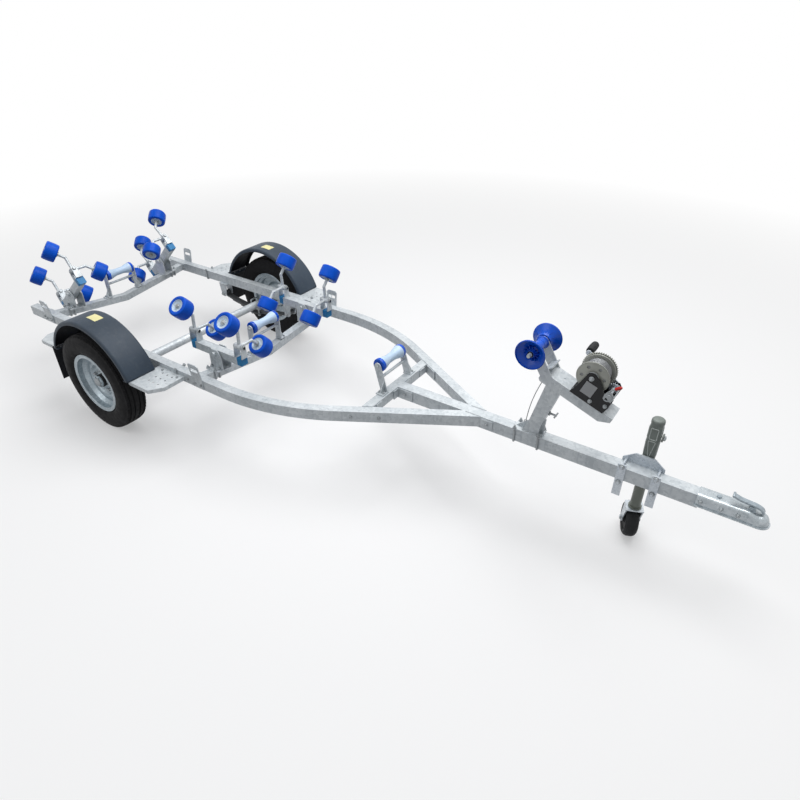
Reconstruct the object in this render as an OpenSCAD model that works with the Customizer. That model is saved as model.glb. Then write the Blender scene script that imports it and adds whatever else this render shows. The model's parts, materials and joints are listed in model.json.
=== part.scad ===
// Single-axle boat trailer with roller cradles, a winch post and a jockey wheel.
// Lengths are millimetres. X runs forward, Y to the left, Z up from the floor.

/* [Overall] */
// Distance from the axle back to the rear ends of the side rails
rail_rear = 1000; // [850:10:1300]
// Distance from the axle forward to the tip of the coupling
coupler_tip = 3400; // [2900:10:4200]
// Half width over the two side rails
frame_half = 565; // [470:5:700]
// Height of the rails' top face above the floor
rail_top = 450; // [420:5:560]

/* [Frame] */
// Width of a side rail tube
rail_w = 50; // [30:1:70]
// Height of a side rail tube
rail_h = 60; // [40:1:80]
// Outside radius of the bend in a side rail
bend_r = 1270; // [700:10:1600]
// Angle of the bend in a side rail
bend_angle = 30; // [22:1:34]
// Width of the drawbar tube
drawbar_w = 60; // [45:1:76]
// Height of the drawbar tube
drawbar_h = 66; // [50:1:80]
// Distance from the coupling's tip back to the point where the rails meet the drawbar
apex_back = 1283; // [1240:5:1400]
// Width of a crossmember tube along the trailer
cross_w = 50; // [30:1:60]
// Height of a crossmember tube
cross_h = 44; // [30:1:60]
// Distance from the axle back to the rear crossmember
cross_rear = 800; // [740:5:900]
// Distance from the axle forward to the middle crossmember
cross_mid = 625; // [600:5:760]
// Distance from the axle forward to the front crossmember
cross_front = 1600; // [1400:5:1700]
// How far the middle of a dipped crossmember hangs below its ends
cross_dip = 62; // [30:2:90]
// Thickness of the frame's bracket plates
plate_t = 6; // [4:0.5:10]

/* [Wheels] */
// Outside radius of a tyre
tyre_r = 298; // [250:1:330]
// Width of a tyre
tyre_w = 150; // [120:1:200]
// Radius of a rim's edge
rim_r = 183.5; // [150:0.5:210]
// Distance from the trailer's middle to the middle of a wheel
wheel_y = 725; // [690:1:860]
// Radius of the axle tube
axle_r = 27; // [18:1:35]
// Radius of the wheel spindle
spindle_r = 17; // [12:0.5:22]
// Radius of the mudguard's arch
guard_r = 386; // [350:1:430]
// Width of a mudguard
guard_w = 184; // [150:1:260]
// Thickness of a mudguard
guard_t = 4; // [2:0.5:6]
// Height of the step plates' top face above the floor
step_top = 424; // [400:1:440]
// Width of a step plate across the trailer
step_w = 205; // [150:5:260]
// Width of a leaf spring
leaf_w = 45; // [35:1:60]
// Distance between the two eyes of a leaf spring
leaf_span = 640; // [520:10:700]
// Distance from the trailer's middle to the middle of a leaf spring
leaf_y = 528; // [480:1:540]

/* [Roller cradles] */
// Distance from the trailer's middle to the middle of a cradle beam
beam_y = 360; // [300:1:400]
// Width and height of a cradle beam
beam_w = 46; // [40:1:70]
// Length of a cradle beam
beam_len = 400; // [360:5:460]
// Height of a cradle beam's pivot above the rails' top face
beam_lift = 60; // [54:1:90]
// Distance from a cradle beam's pivot to each arm's pivot, along the beam
arm_reach = 180; // [150:1:210]
// Height of an arm's pivot above the beam's own pivot
arm_lift = 85; // [75:1:110]
// Angle at which the right rear cradle beam leans back on its stop
rear_tilt = 39; // [0:1:60]
// Angle at which the left rear cradle beam leans back on its stop
rear_tilt_left = 43; // [0:1:60]
// Angle at which an arm leans inboard on its stop
arm_roll = 47; // [30:1:50]
// Distance from an arm's middle to the middle of each of its rollers
roller_out = 150; // [135:1:180]
// Height of the roller line above the arm's pivot
roller_rise = 65; // [50:1:80]
// Radius of a cradle roller
roller_r = 60; // [45:1:66]
// Width of a cradle roller
roller_w = 76; // [50:1:90]
// Radius of the rod a cradle roller turns on
rod_r = 9; // [7:0.5:12]

/* [Keel and bow rollers] */
// Length of a keel roller
keel_len = 200; // [150:2:240]
// Radius of a keel roller's ends
keel_r = 36; // [28:1:45]
// Radius of a keel roller's waist
keel_waist = 24; // [16:1:30]
// Radius of the bow roller's end bells
bell_r = 69; // [50:1:80]
// Overall length of the bow roller
bow_len = 200; // [160:2:240]

/* [Winch post] */
// Distance from the coupling's tip back to the foot of the winch post
post_back = 1028; // [1000:2:1060]
// Height of the tray's rear edge above the drawbar
tray_lift = 363; // [300:1:420]
// Slope of the winch tray
tray_slope = 21; // [10:1:30]
// Length of the winch tray
tray_len = 352; // [300:1:420]
// Width of the winch tray
tray_w = 100; // [80:1:120]
// Radius of the winch drum's flanges
drum_r = 70; // [50:1:80]
// Length of the winch crank's arm
crank_len = 180; // [120:2:180]

/* [Jack and coupling] */
// Distance from the coupling's tip back to the jack
jack_back = 512; // [480:1:560]
// Distance from the trailer's middle to the jack
jack_y = 69; // [66:1:100]
// Width of the jack's inner leg
leg_w = 48; // [36:1:56]
// Width of the jack's outer housing
housing_w = 58; // [50:1:70]
// Radius of the jockey wheel
jockey_r = 85; // [70:1:110]
// Width of the jockey wheel
jockey_w = 60; // [40:1:64]
// Angle that the jockey wheel's caster is turned from straight ahead
jockey_turn = 112; // [0:1:180]
// Radius of the coupling's ball socket
ball_r = 25.4; // [23.8:0.1:31]

/* [Hidden] */
$fn = 48;
eps = 0.3;
run = 0.4;
drawbar_half = drawbar_w / 2;
drawbar_end = coupler_tip - 268;
drawbar_bottom = rail_top - drawbar_h;
rail_bottom = rail_top - rail_h;
rail_in = frame_half - rail_w;
apex_x = coupler_tip - apex_back;
arc_cy = frame_half - bend_r;
arc_end_y = arc_cy + bend_r * cos(bend_angle);
bend_x = apex_x - bend_r * sin(bend_angle) - (arc_end_y - drawbar_half) / tan(bend_angle);
arc_end_x = bend_x + bend_r * sin(bend_angle);
hub_z = tyre_r;
beam_pz = rail_top + beam_lift;
rear_pz = rail_top + beam_lift + 10;
rear_px = 9 - cross_rear;
mid_px = cross_mid + 8;
roll_mid_z = arm_lift + roller_rise * cos(arm_roll) + roller_out * sin(arm_roll);
back_r = arm_reach * cos(rear_tilt) + roll_mid_z * sin(rear_tilt) - rear_px;
back_l = arm_reach * cos(rear_tilt_left) + roll_mid_z * sin(rear_tilt_left) - rear_px;
skew_r = sin(rear_tilt) * sin(arm_roll);
skew_l = sin(rear_tilt_left) * sin(arm_roll);
end_r = back_r + (roller_r - 3) * sqrt(1 - skew_r * skew_r) + (roller_w / 2 - 3) * skew_r;
end_l = back_l + (roller_r - 3) * sqrt(1 - skew_l * skew_l) + (roller_w / 2 - 3) * skew_l;
back_x = max(rail_rear, end_r, end_l);
mid_x = (coupler_tip - back_x) / 2;
post_x = coupler_tip - post_back;
jack_x = coupler_tip - jack_back;
tray_x = post_x + 28;
tray_z = rail_top + tray_lift;
cross_end = rail_in - plate_t;
leaf_axle_z = hub_z - axle_r - 8;
leaf_sag = 42;
leaf_t = 7;
leaf_r = (leaf_span * leaf_span / 4 + leaf_sag * leaf_sag) / (2 * leaf_sag);
eye_z = leaf_axle_z + leaf_sag;
guard_y = wheel_y - guard_w / 2 - 32;
guard_a = asin((step_top + 12 - hub_z) / guard_r);
keel_front_x = cross_front - 45;
drum_x = 185;
drum_z = 114;
crank_x = 280;
crank_z = 76;

steel = [0.74, 0.77, 0.78];
zinc = [0.78, 0.80, 0.80];
blue = [0.02, 0.20, 0.80];
black = [0.09, 0.09, 0.10];
guard_grey = [0.24, 0.29, 0.34];
grip_grey = [0.22, 0.23, 0.24];

// Every part is drawn with the axle at x = 0 and moved to the shared origin
module place() {
  translate([-mid_x, 0, 0]) children();
}

module both() {
  children();
  mirror([0, 1, 0]) children();
}

module block(x0, x1, y0, y1, z0, z1) {
  translate([x0, y0, z0]) cube([x1 - x0, y1 - y0, z1 - z0]);
}

// A plate drawn in the X-Z plane, from y0 to y0 + t
module plate_xz(y0, t) {
  translate([0, y0 + t, 0]) rotate([90, 0, 0]) linear_extrude(t) children();
}

// A plate drawn in the Y-Z plane, from x0 to x0 + t
module plate_yz(x0, t) {
  translate([x0, 0, 0]) rotate([90, 0, 90]) linear_extrude(t) children();
}

module rod_y(x, z, y0, y1, r) {
  translate([x, y0, z]) rotate([-90, 0, 0]) cylinder(h = y1 - y0, r = r);
}

module rod_x(y, z, x0, x1, r) {
  translate([x0, y, z]) rotate([0, 90, 0]) cylinder(h = x1 - x0, r = r);
}

// A round rod between two points, with a rounded start
module rod(a, b, r) {
  d = b - a;
  n = norm(d);
  translate(a) rotate([0, acos(d[2] / n), atan2(d[1], d[0])]) cylinder(h = n, r = r);
  translate(a) sphere(r + 0.6);
}

// Side rails: straight, bent inwards and straight again to the drawbar's side
module rail_arc() {
  intersection() {
    difference() {
      circle(bend_r);
      circle(bend_r - rail_w);
    }
    polygon([[0, 0], [0, 2 * bend_r],
      [2 * bend_r * sin(bend_angle), 2 * bend_r * cos(bend_angle)]]);
  }
}

module one_rail() {
  block(-rail_rear, bend_x, rail_in, frame_half, rail_bottom, rail_top);
  translate([bend_x, arc_cy, rail_bottom]) linear_extrude(rail_h) rail_arc();
  difference() {
    translate([arc_end_x, arc_end_y, rail_bottom]) rotate([0, 0, -bend_angle])
      translate([0, -rail_w, 0])
        cube([(arc_end_y - drawbar_half) / sin(bend_angle), rail_w, rail_h]);
    block(arc_end_x, apex_x + 200, -300, drawbar_half + eps, rail_bottom - 5, rail_top + 5);
  }
}

module side_rails() {
  color(steel) place() both() one_rail();
}

// Inner edge of the sloping part of a rail
function rail_edge(x) = arc_end_y - rail_w / cos(bend_angle) - (x - arc_end_x) * tan(bend_angle);

function cross_top(y, z_end) = z_end - cross_dip * (1 - abs(y) / cross_end);

module dipped_bar(x, z_end) {
  zc = z_end - cross_dip;
  plate_yz(x - cross_w / 2, cross_w) polygon([[-cross_end, z_end], [0, zc],
    [cross_end, z_end], [cross_end, z_end - cross_h], [0, zc - cross_h],
    [-cross_end, z_end - cross_h]]);
  both() block(x - 45, x + 45, cross_end, rail_in - eps, rail_bottom + 2, rail_top - 2);
}

module crossmembers() {
  x0 = cross_front - cross_w / 2;
  x1 = cross_front + cross_w / 2;
  z0 = rail_top - 50;
  xa = x0 - 40;
  xb = x1 + 80;
  color(steel) place() {
    dipped_bar(-cross_rear, rail_top - 10);
    dipped_bar(cross_mid, rail_top - 22);
    translate([0, 0, z0]) linear_extrude(50) polygon([[x0, 5 - rail_edge(x0)], [x1, 5 - rail_edge(x1)],
      [x1, rail_edge(x1) - 5], [x0, rail_edge(x0) - 5]]);
    both() translate([0, 0, rail_bottom + 4]) linear_extrude(rail_h - 8) polygon([
      [xa, rail_edge(xa) - eps], [xb, rail_edge(xb) - eps], [xb, rail_edge(xb) - plate_t],
      [xa, rail_edge(xa) - plate_t]]);
    both() block(x1 - 1, x1 + 5, rail_edge(x1) - 78, rail_edge(x1) - 30, z0 + 5, z0 + 45);
  }
}

// Drawbar, with the saddle that holds its rear end on the front crossmember
module drawbar() {
  x0 = cross_front + cross_w / 2 + eps;
  color(steel) place() {
    block(x0, drawbar_end, -drawbar_half, drawbar_half, drawbar_bottom, rail_top);
    both() block(x0, x0 + 92, drawbar_half, drawbar_half + 5, drawbar_bottom + 6, rail_top - 6);
    both() block(x0, x0 + 5, drawbar_half, drawbar_half + 44, drawbar_bottom + 10, rail_top - 6);
    both() block(apex_x, apex_x + 66, drawbar_half, drawbar_half + 5, rail_bottom + 8, rail_top - 8);
  }
}

// Pressed coupling that fits over the drawbar's end and takes a ball from below
module coupling_plan(grow) {
  n = coupler_tip - 40 - grow;
  x0 = drawbar_end - 16;
  hw = drawbar_half + 5 + grow;
  translate([n, 0]) circle(40 + grow);
  polygon([[x0, -hw], [n - 60, -hw], [n - 20, -38 - grow], [n, -40 - grow],
    [n, 40 + grow], [n - 20, 38 + grow], [n - 60, hw], [x0, hw]]);
}

module coupling() {
  bx = coupler_tip - 46;
  bz = rail_top - 42;
  z0 = rail_top - 50;
  color(zinc) place() difference() {
    union() {
      translate([0, 0, z0]) linear_extrude(rail_top - 10 - z0) coupling_plan(-6);
      translate([0, 0, z0]) linear_extrude(5) intersection() {
        coupling_plan(0);
        translate([drawbar_end - 16, -80]) square([300, 160]);
      }
      translate([0, 0, z0]) linear_extrude(5) translate([drawbar_end - 16, -50])
        square([196, 100]);
      block(drawbar_end - 16, bx - 52, -drawbar_half - 5, drawbar_half + 5, z0, rail_top + 5);
      translate([bx - 52, 0, z0]) rotate([90, 0, 90]) linear_extrude(30)
        polygon([[-35, 0], [-35, rail_top - z0 - 2], [-26, rail_top + 5 - z0],
          [26, rail_top + 5 - z0], [35, rail_top - z0 - 2], [35, 0]]);
      translate([bx, 0, bz]) sphere(ball_r + 8);
      translate([bx, 0, z0]) cylinder(h = bz - z0, r = ball_r + 8);
    }
    block(drawbar_end - 20, drawbar_end + eps, -drawbar_half - eps, drawbar_half + eps,
      z0 - 5, rail_top + eps);
    block(drawbar_end, bx - 38, -drawbar_half, drawbar_half, z0 - 5, rail_top - 6);
    translate([bx, 0, bz]) sphere(ball_r);
    translate([bx, 0, z0 - 5]) cylinder(h = bz - z0 + 5, r = ball_r);
    block(bx - 60, bx + 60, -60, 60, z0 - 60, z0);
  }
}

// Axle tube with a spindle at each end
module axle() {
  ye = wheel_y - 94;
  color(steel) place() {
    rod_y(0, hub_z, -ye, ye, axle_r);
    rod_y(0, hub_z, -wheel_y - 30, wheel_y + 30, spindle_r);
    both() rod_y(0, hub_z, ye, ye + 8, axle_r + 9);
    both() block(-34, 34, leaf_y - 24, leaf_y + 24, leaf_axle_z + 0.5, hub_z);
  }
}

module leaf(i, half) {
  a = asin(half / leaf_r);
  translate([0, 0, leaf_axle_z + leaf_r]) plate_xz(leaf_y - leaf_w / 2, leaf_w) intersection() {
    difference() {
      circle(leaf_r + (i + 1) * leaf_t);
      circle(leaf_r + i * leaf_t);
    }
    polygon([[0, 0], [-1.4 * leaf_r * sin(a), -1.4 * leaf_r * cos(a)],
      [1.4 * leaf_r * sin(a), -1.4 * leaf_r * cos(a)]]);
  }
}

// Leaf springs under the axle, each with a rolled eye at both ends and a clamp plate
module leaf_springs() {
  half = leaf_span / 2;
  color(steel) place() both() {
    difference() {
      union() {
        leaf(0, half);
        for (s = [-1, 1]) rod_y(s * half, eye_z + 9, leaf_y - leaf_w / 2, leaf_y + leaf_w / 2, 17);
      }
      for (s = [-1, 1]) rod_y(s * half, eye_z + 9, leaf_y - leaf_w, leaf_y + leaf_w, 10);
    }
    leaf(1, half * 0.76);
    leaf(2, half * 0.5);
    block(-50, 50, leaf_y - 40, leaf_y + 40, leaf_axle_z - 3 * leaf_t - 6, leaf_axle_z - 3 * leaf_t + 2);
  }
}

// Hangers under the rails, with the pins that hold the spring eyes
module spring_hangers() {
  half = leaf_span / 2;
  y0 = leaf_y - leaf_w / 2 - 3;
  y1 = leaf_y + leaf_w / 2 + 3;
  color(steel) place() both() for (s = [-1, 1]) {
    for (y = [y0 - 5, y1]) plate_xz(y, 5) polygon([[s * half - 34, rail_bottom - 5],
      [s * half - 24, eye_z - 4], [s * half - 10, eye_z - 13], [s * half + 10, eye_z - 13],
      [s * half + 24, eye_z - 4], [s * half + 34, rail_bottom - 5]]);
    block(s * half - 40, s * half + 40, y0 - 5, y1 + 5, rail_bottom - 5, rail_bottom - eps);
    rod_y(s * half, eye_z + 9, y0 - 16, y1 + 16, 9.5);
  }
}

module arch(r0, r1, y0, y1) {
  a = guard_a;
  translate([0, 0, hub_z]) plate_xz(y0, y1 - y0) intersection() {
    difference() {
      circle(r1);
      circle(r0);
    }
    polygon([[0, 0], [900 * cos(a), 900 * sin(a)], [900, 1400], [-900, 1400],
      [-900 * cos(a), 900 * sin(a)]]);
  }
}

// Mudguards: rolled arch with turned edges, feet on the step plates and a rear flap
module mudguards() {
  y1 = guard_y + guard_w;
  xf = guard_r * cos(guard_a);
  color(guard_grey) place() both() {
    arch(guard_r - guard_t, guard_r, guard_y, y1);
    arch(guard_r - 24, guard_r - 1, y1 - guard_t, y1);
    arch(guard_r - 24, guard_r - 1, guard_y, guard_y + guard_t);
    for (s = [-1, 1]) {
      block(s * (xf + 13) - 23, s * (xf + 13) + 23, guard_y, y1, step_top + eps, step_top + 4);
      block(s * (xf - 2) - 3, s * (xf - 2) + 3, guard_y, y1, step_top + eps, step_top + 16);
    }
    block(-xf - 16, -xf - 12, guard_y + 12, y1 - 2, step_top - 224, step_top + 3);
  }
}

module step_pan(x0, x1, cut) {
  y0 = frame_half + eps;
  y1 = frame_half + step_w;
  translate([0, 0, step_top - 22]) linear_extrude(22)
    polygon([[x0, y0], [x1, y0], [x1, y1 - cut], [x1 - sign(x1 - x0) * cut * 0.7, y1], [x0, y1]]);
}

// Step plates: shallow pans turned down along their edges, drilled on top
module step_plates() {
  t = 4;
  y0 = frame_half;
  color(steel) place() both() {
    difference() {
      step_pan(345, 560, 70);
      block(349, 556, y0 + 6, y0 + step_w - 68, step_top - 30, step_top - t);
      block(349, 506, y0 + 6, y0 + step_w - 4, step_top - 30, step_top - t);
      for (i = [0:2], j = [0:2])
        translate([428 + 40 * i, y0 + 42 + 46 * j, step_top - 10]) cylinder(h = 20, r = 6);
    }
    difference() {
      step_pan(-378, -560, 60);
      block(-555, -382, y0 + 6, y0 + step_w - 60, step_top - 60, step_top - t);
      block(-512, -382, y0 + 6, y0 + step_w - 4, step_top - 60, step_top - t);
      block(-412, -370, y0 + 6, y0 + step_w + 4, step_top - 60, step_top - t);
      for (i = [0:1], j = [0:2])
        translate([-450 - 42 * i, y0 + 42 + 46 * j, step_top - 10]) cylinder(h = 20, r = 6);
    }
  }
}

// Rounded slot outline: centre height z, half length a between end centres, end radius r
function slot_outline(z, a, r) = concat([for (k = [0:8]) [a + r * sin(22.5 * k), z + r * cos(22.5 * k)]],
  [for (k = [0:8]) [-a - r * sin(22.5 * k), z - r * cos(22.5 * k)]]);

// Tie-down plates bolted to the rails, with a long slot through the leaning top
module tie_down_plates() {
  y0 = frame_half + eps;
  y1 = frame_half + 5;
  lean = 96 * tan(8);
  color(steel) place() both() for (x = [677, -773]) difference() {
    intersection() {
      plate_yz(x - 40, 80) polygon([[y0, rail_bottom + 4], [y1, rail_bottom + 4],
        [y1, rail_top], [y1 + lean, rail_top + 96], [y0 + lean, rail_top + 96], [y0, rail_top]]);
      translate([x, 0, rail_top]) plate_xz(frame_half - 20, 80) polygon([[-41, -60], [41, -60],
        [41, 80], [37, 89], [27, 97], [-27, 97], [-37, 89], [-41, 80]]);
    }
    translate([x, 0, rail_top]) plate_xz(frame_half - 10, 60) polygon(slot_outline(56, 20, 10));
  }
}

module cradle_bracket(px, pz, xc, z_end, notch) {
  bw = beam_w / 2 + 5;
  zi = cross_top(beam_y - bw - 8, z_end) + eps;
  zo = cross_top(beam_y + bw + 46, z_end) + eps;
  za = cross_top(beam_y - bw, z_end) + 2;
  zb = cross_top(beam_y + bw, z_end) + 2;
  difference() {
    plate_yz(px - 47, 94) polygon([[beam_y - bw - 8, zi], [beam_y + bw + 46, zo],
      [beam_y + bw + 46, zo + 6], [beam_y - bw - 8, zi + 6]]);
    block(px - 50, px - 47 + notch, beam_y - bw + 0.5, beam_y + bw - 0.5, zi - 5, zo + 15);
  }
  for (q = [[beam_y - bw - 6, za], [beam_y + bw, zb]]) plate_xz(q[0], 6) polygon([
    [px - 47, q[1]], [px + 47, q[1]], [px + 47, pz - 8], [px + 24, pz + 26],
    [px - 24, pz + 26], [px - 47, pz - 8]]);
  rod_y(px, pz, beam_y - bw - 14, beam_y + bw + 14, 9);
  for (s = [-1, 1]) rod_y(px, pz, beam_y + s * (bw + 13) - 6, beam_y + s * (bw + 13) + 6, 14);
}

// Brackets on the dipped crossmembers that carry the four cradle beams
module beam_brackets() {
  color(steel) place() both() {
    cradle_bracket(mid_px, beam_pz, cross_mid, rail_top - 22, 0);
    cradle_bracket(rear_px, rear_pz, -cross_rear, rail_top - 10, 20);
  }
}

module keel_bracket(x, z, xf, z_foot) {
  yk = keel_len / 2 + 6;
  xr = x + (xf - x) * 62 / (z - z_foot);
  both() {
    plate_xz(yk, 6) {
      translate([x, z]) circle(20);
      polygon([[x - 21, z - 2], [xf - 22, z_foot + 4], [xf + 22, z_foot + 4], [x + 21, z - 2]]);
    }
    block(xf - 24, xf + 24, yk - 4, yk + 46, z_foot, z_foot + 6);
    plate_yz(xf - 3, 6) polygon([[yk + 5, z_foot + 5], [yk + 42, z_foot + 5], [yk + 5, z_foot + 70]]);
  }
  rod_y(x, z, -yk - 14, yk + 14, 8);
  rod_y(xr, z - 62, -yk - 3, yk + 3, 8);
}

// Uprights that carry the three keel rollers on their axles
module keel_brackets() {
  yk = keel_len / 2 + 6;
  color(steel) place() {
    keel_bracket(-cross_rear, rail_top + 100, -cross_rear,
      cross_top(yk + 46, rail_top - 10) + eps);
    keel_bracket(cross_mid, rail_top + 92, cross_mid, cross_top(yk + 46, rail_top - 22) + eps);
    keel_bracket(keel_front_x, rail_top + 140, cross_front - 8, rail_top + eps);
  }
}

module keel_profile() {
  h = keel_len / 2;
  difference() {
    polygon([[0, -h], [keel_r - 4, -h], [keel_r, -h + 4], [keel_r, -h + 26],
      [keel_waist + 4, -h + 44], [keel_waist, -h + 62], [keel_waist, h - 62],
      [keel_waist + 4, h - 44], [keel_r, h - 26], [keel_r, h - 4], [keel_r - 4, h], [0, h]]);
    translate([-1, -h - 1]) square([9 + run, 2 * h + 2]);
  }
}

module keel_roller(x, z) {
  translate([x, 0, z]) rotate([90, 0, 0]) rotate_extrude() keel_profile();
}

module keel_roller_rear() {
  color(blue) place() keel_roller(-cross_rear, rail_top + 100);
}

module keel_roller_mid() {
  color(blue) place() keel_roller(cross_mid, rail_top + 92);
}

module keel_roller_front() {
  color(blue) place() keel_roller(keel_front_x, rail_top + 140);
}

// Tray coordinates: origin on the tray's rear top edge, x down its slope
module on_tray() {
  translate([tray_x, 0, tray_z]) rotate([0, tray_slope, 0]) children();
}

// Winch post: leaning channel on a foot plate, a sloping tray and the bow roller's ears
module winch_post() {
  hw = tray_w / 2;
  z0 = rail_top + eps;
  za = tray_z - 30 * tan(tray_slope) - 3;
  zb = tray_z - 100 * tan(tray_slope) - 3;
  color(steel) place() {
    block(post_x - 86, post_x + 58, -drawbar_half - 8, drawbar_half + 8, z0, z0 + 8);
    difference() {
      plate_xz(-26, 52) polygon([[post_x - 40, z0 + 6], [post_x + 40, z0 + 6],
        [post_x + 46, z0 + 60], [post_x + 128, zb], [post_x + 58, za],
        [post_x - 16, z0 + 60]]);
      plate_xz(-20, 60) polygon([[post_x - 30, z0 + 16], [post_x + 32, z0 + 16],
        [post_x + 38, z0 + 60], [post_x + 112, zb - 16], [post_x + 60, za - 14],
        [post_x - 6, z0 + 60]]);
    }
    plate_xz(-3, 6) polygon([[post_x + 40, z0 + 7], [post_x + 56, z0 + 7], [post_x + 62, z0 + 90],
      [post_x + 50, z0 + 84]]);
    plate_xz(-3, 6) polygon([[post_x - 80, z0 + 7], [post_x - 34, z0 + 7], [post_x - 16, z0 + 62]]);
    on_tray() difference() {
      plate_xz(-hw, tray_w) polygon([[0, 0], [tray_len, 0], [tray_len, -22], [tray_len - 44, -50],
        [10, -50], [0, -40]]);
      plate_xz(5 - hw, tray_w - 10) polygon([[-5, -5], [tray_len + 5, -5], [tray_len + 5, -80],
        [-5, -80]]);
      translate([92, 0, -10]) cylinder(h = 20, r = 5);
    }
    for (y = [-hw, hw - 6]) plate_xz(y, 6) {
      polygon([[post_x + 30, tray_z - 42], [post_x + 76, tray_z - 24], [post_x + 2, tray_z + 98],
        [post_x - 44, tray_z + 74]]);
      translate([post_x - 22, rail_top + 450]) circle(26);
    }
    rod_y(post_x - 22, rail_top + 450, -bow_len / 2 - 12, bow_len / 2 + 12, 8);
    on_tray() rotate([0, -54, 0]) block(2, 46, -hw + 6, hw - 6, -2, 3);
  }
}

module bell_profile(y0, y1, r0, r1) {
  polygon([[8 + run, y0], [r0, y0], [r0 + 3, y0 + 6], [r1 - 6, y1 - 14], [r1, y1 - 8], [r1, y1],
    [r1 - 7, y1], [r0 + 4, y0 + 16], [18, y0 + 14], [18, y1 - 6], [8 + run, y1 - 6]]);
}

// Bow roller: a spool between the ears and a hollow bell outside each ear
module bow_roller() {
  hw = tray_w / 2;
  color(blue) place() translate([post_x - 22, 0, rail_top + 450]) {
    both() rotate([-90, 0, 0]) rotate_extrude() bell_profile(hw + 2, bow_len / 2, 32, bell_r);
    rotate([-90, 0, 0]) rotate_extrude() polygon([[8 + run, 8 - hw], [30, 8 - hw],
      [24, 14 - hw], [24, hw - 14], [30, hw - 8], [8 + run, hw - 8]]);
  }
}

// Winch frame: two side plates on a base that is bolted to the tray
module winch_frame() {
  color(black) place() on_tray() {
    block(140, 302, -56, 56, eps, 5);
    for (y = [-58, 54]) difference() {
      plate_xz(y, 4) {
        polygon([[140, eps], [302, eps], [308, 40], [307, 84], [288, 100], [258, 88], [216, 130],
          [162, 130], [154, 62]]);
        translate([drum_x, drum_z]) circle(25);
      }
      rod_y(crank_x, crank_z, -70, 70, 8 + run);
    }
    rod_y(drum_x, drum_z, -64, 62, 8);
    rod_y(drum_x + 47, 18, -64, 62, 7);
    block(289, 299, -54, 54, 30, 48);
  }
}

// Winch drum with a core, two flanges and the large gear on its far side
module winch_drum() {
  color(steel) place() on_tray() difference() {
    union() {
      rod_y(drum_x, drum_z, -44, 40, 28);
      rod_y(drum_x, drum_z, -46, -42, drum_r);
      rod_y(drum_x, drum_z, 26, 30, drum_r);
      rod_y(drum_x, drum_z, 34, 41, drum_r + 4);
    }
    rod_y(drum_x, drum_z, -60, 60, 8 + run);
    for (a = [20:60:320])
      rod_y(drum_x + 48 * cos(a), drum_z + 48 * sin(a), -60, -30, 7);
  }
}

// Crank: shaft with its pinion, flat arm and hand grip on the far side
module winch_crank() {
  a = 142 + tray_slope;
  ex = crank_x + crank_len * cos(a);
  ez = crank_z + crank_len * sin(a);
  color(grip_grey) place() on_tray() {
    rod_y(crank_x, crank_z, -66, 76, 8);
    rod_y(crank_x, crank_z, 34, 41, 22);
    translate([crank_x, 74, crank_z]) rotate([90, 0, 0]) rotate([0, 0, a]) linear_extrude(6) {
      circle(14);
      translate([0, -12]) square([crank_len, 24]);
      translate([crank_len, 0]) circle(12);
    }
    rod_y(ex, ez, 70, 84, 7);
    rod_y(ex, ez, 84, 180, 14);
  }
}

// Safety wire from the tray's underside down to the post's foot
wire_a = [tray_x + 14, 0, tray_z - 14 * tan(tray_slope) - 5 / cos(tray_slope) - 0.7];
wire_b = [post_x - 36, 0, rail_top + 47];
wire_n = 24;
function wire_p(t) = wire_a + (wire_b - wire_a) * t + [-16, 0, -8] * sin(180 * t);
function wire_d(t) = wire_p(t + 0.01) - wire_p(t - 0.01);
function wire_ring(t) = let (d = wire_d(t), u = [0, 1, 0], v = cross(d, u) / norm(d))
  [for (k = [0:7]) wire_p(t) + 2 * (u * cos(45 * k) + v * sin(45 * k))];

module winch_cable() {
  color(black) place() polyhedron(
    points = [for (i = [0:wire_n]) each wire_ring(i / wire_n)],
    faces = concat([[for (k = [0:7]) k]],
      [[for (k = [7:-1:0]) 8 * wire_n + k]],
      [for (i = [0:wire_n - 1], k = [0:7])
        [8 * i + k, 8 * i + 8 + k, 8 * i + 8 + (k + 1) % 8, 8 * i + (k + 1) % 8]]));
}

// Jack clamp: two near bars, a far plate with its arched top, and the bolts between
module jack_bracket() {
  y0 = drawbar_half + eps;
  color(zinc) place() {
    for (x = [jack_x - 80, jack_x + 66])
      block(x - 18, x + 18, -drawbar_half - 7, -drawbar_half - eps, rail_top - 150, rail_top + 20);
    plate_xz(y0, 6) polygon([[jack_x - 98, rail_top - 96], [jack_x + 84, rail_top - 96],
      [jack_x + 84, rail_top + 16], [jack_x + 36, rail_top + 54], [jack_x - 46, rail_top + 54],
      [jack_x - 98, rail_top + 16]]);
    for (x = [jack_x - 80, jack_x + 66], z = [rail_top + 9, drawbar_bottom - 9])
      rod_y(x, z, -drawbar_half - 18, drawbar_half + 18, 6);
    difference() {
      block(jack_x - 33, jack_x + 33, y0 + 5, jack_y - 14, rail_top - 76, rail_top + 7);
      translate([jack_x, jack_y, rail_top - 90]) cylinder(h = 120, r = housing_w / 2 + eps);
    }
  }
}

// Jack housing: round tube with a collar, a cap and the crank's side boss
module jack_housing() {
  h = housing_w / 2;
  z0 = rail_top - 92;
  z1 = rail_top + 236;
  color(grip_grey) place() difference() {
    union() {
      translate([jack_x, jack_y, z0]) cylinder(h = z1 - 20 - z0, r = h);
      translate([jack_x, jack_y, z1 - 21]) cylinder(h = 21, r = h - 2);
      rod_x(jack_y, z1 - 88, jack_x + h - 12, jack_x + h + 8, 18);
      translate([jack_x, jack_y, rail_top + 8]) cylinder(h = 20, r = h + 3);
    }
    translate([jack_x, jack_y, z0 - 5]) cylinder(h = z1 - 21 - z0, r = leg_w / 2 + run);
  }
}

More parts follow.
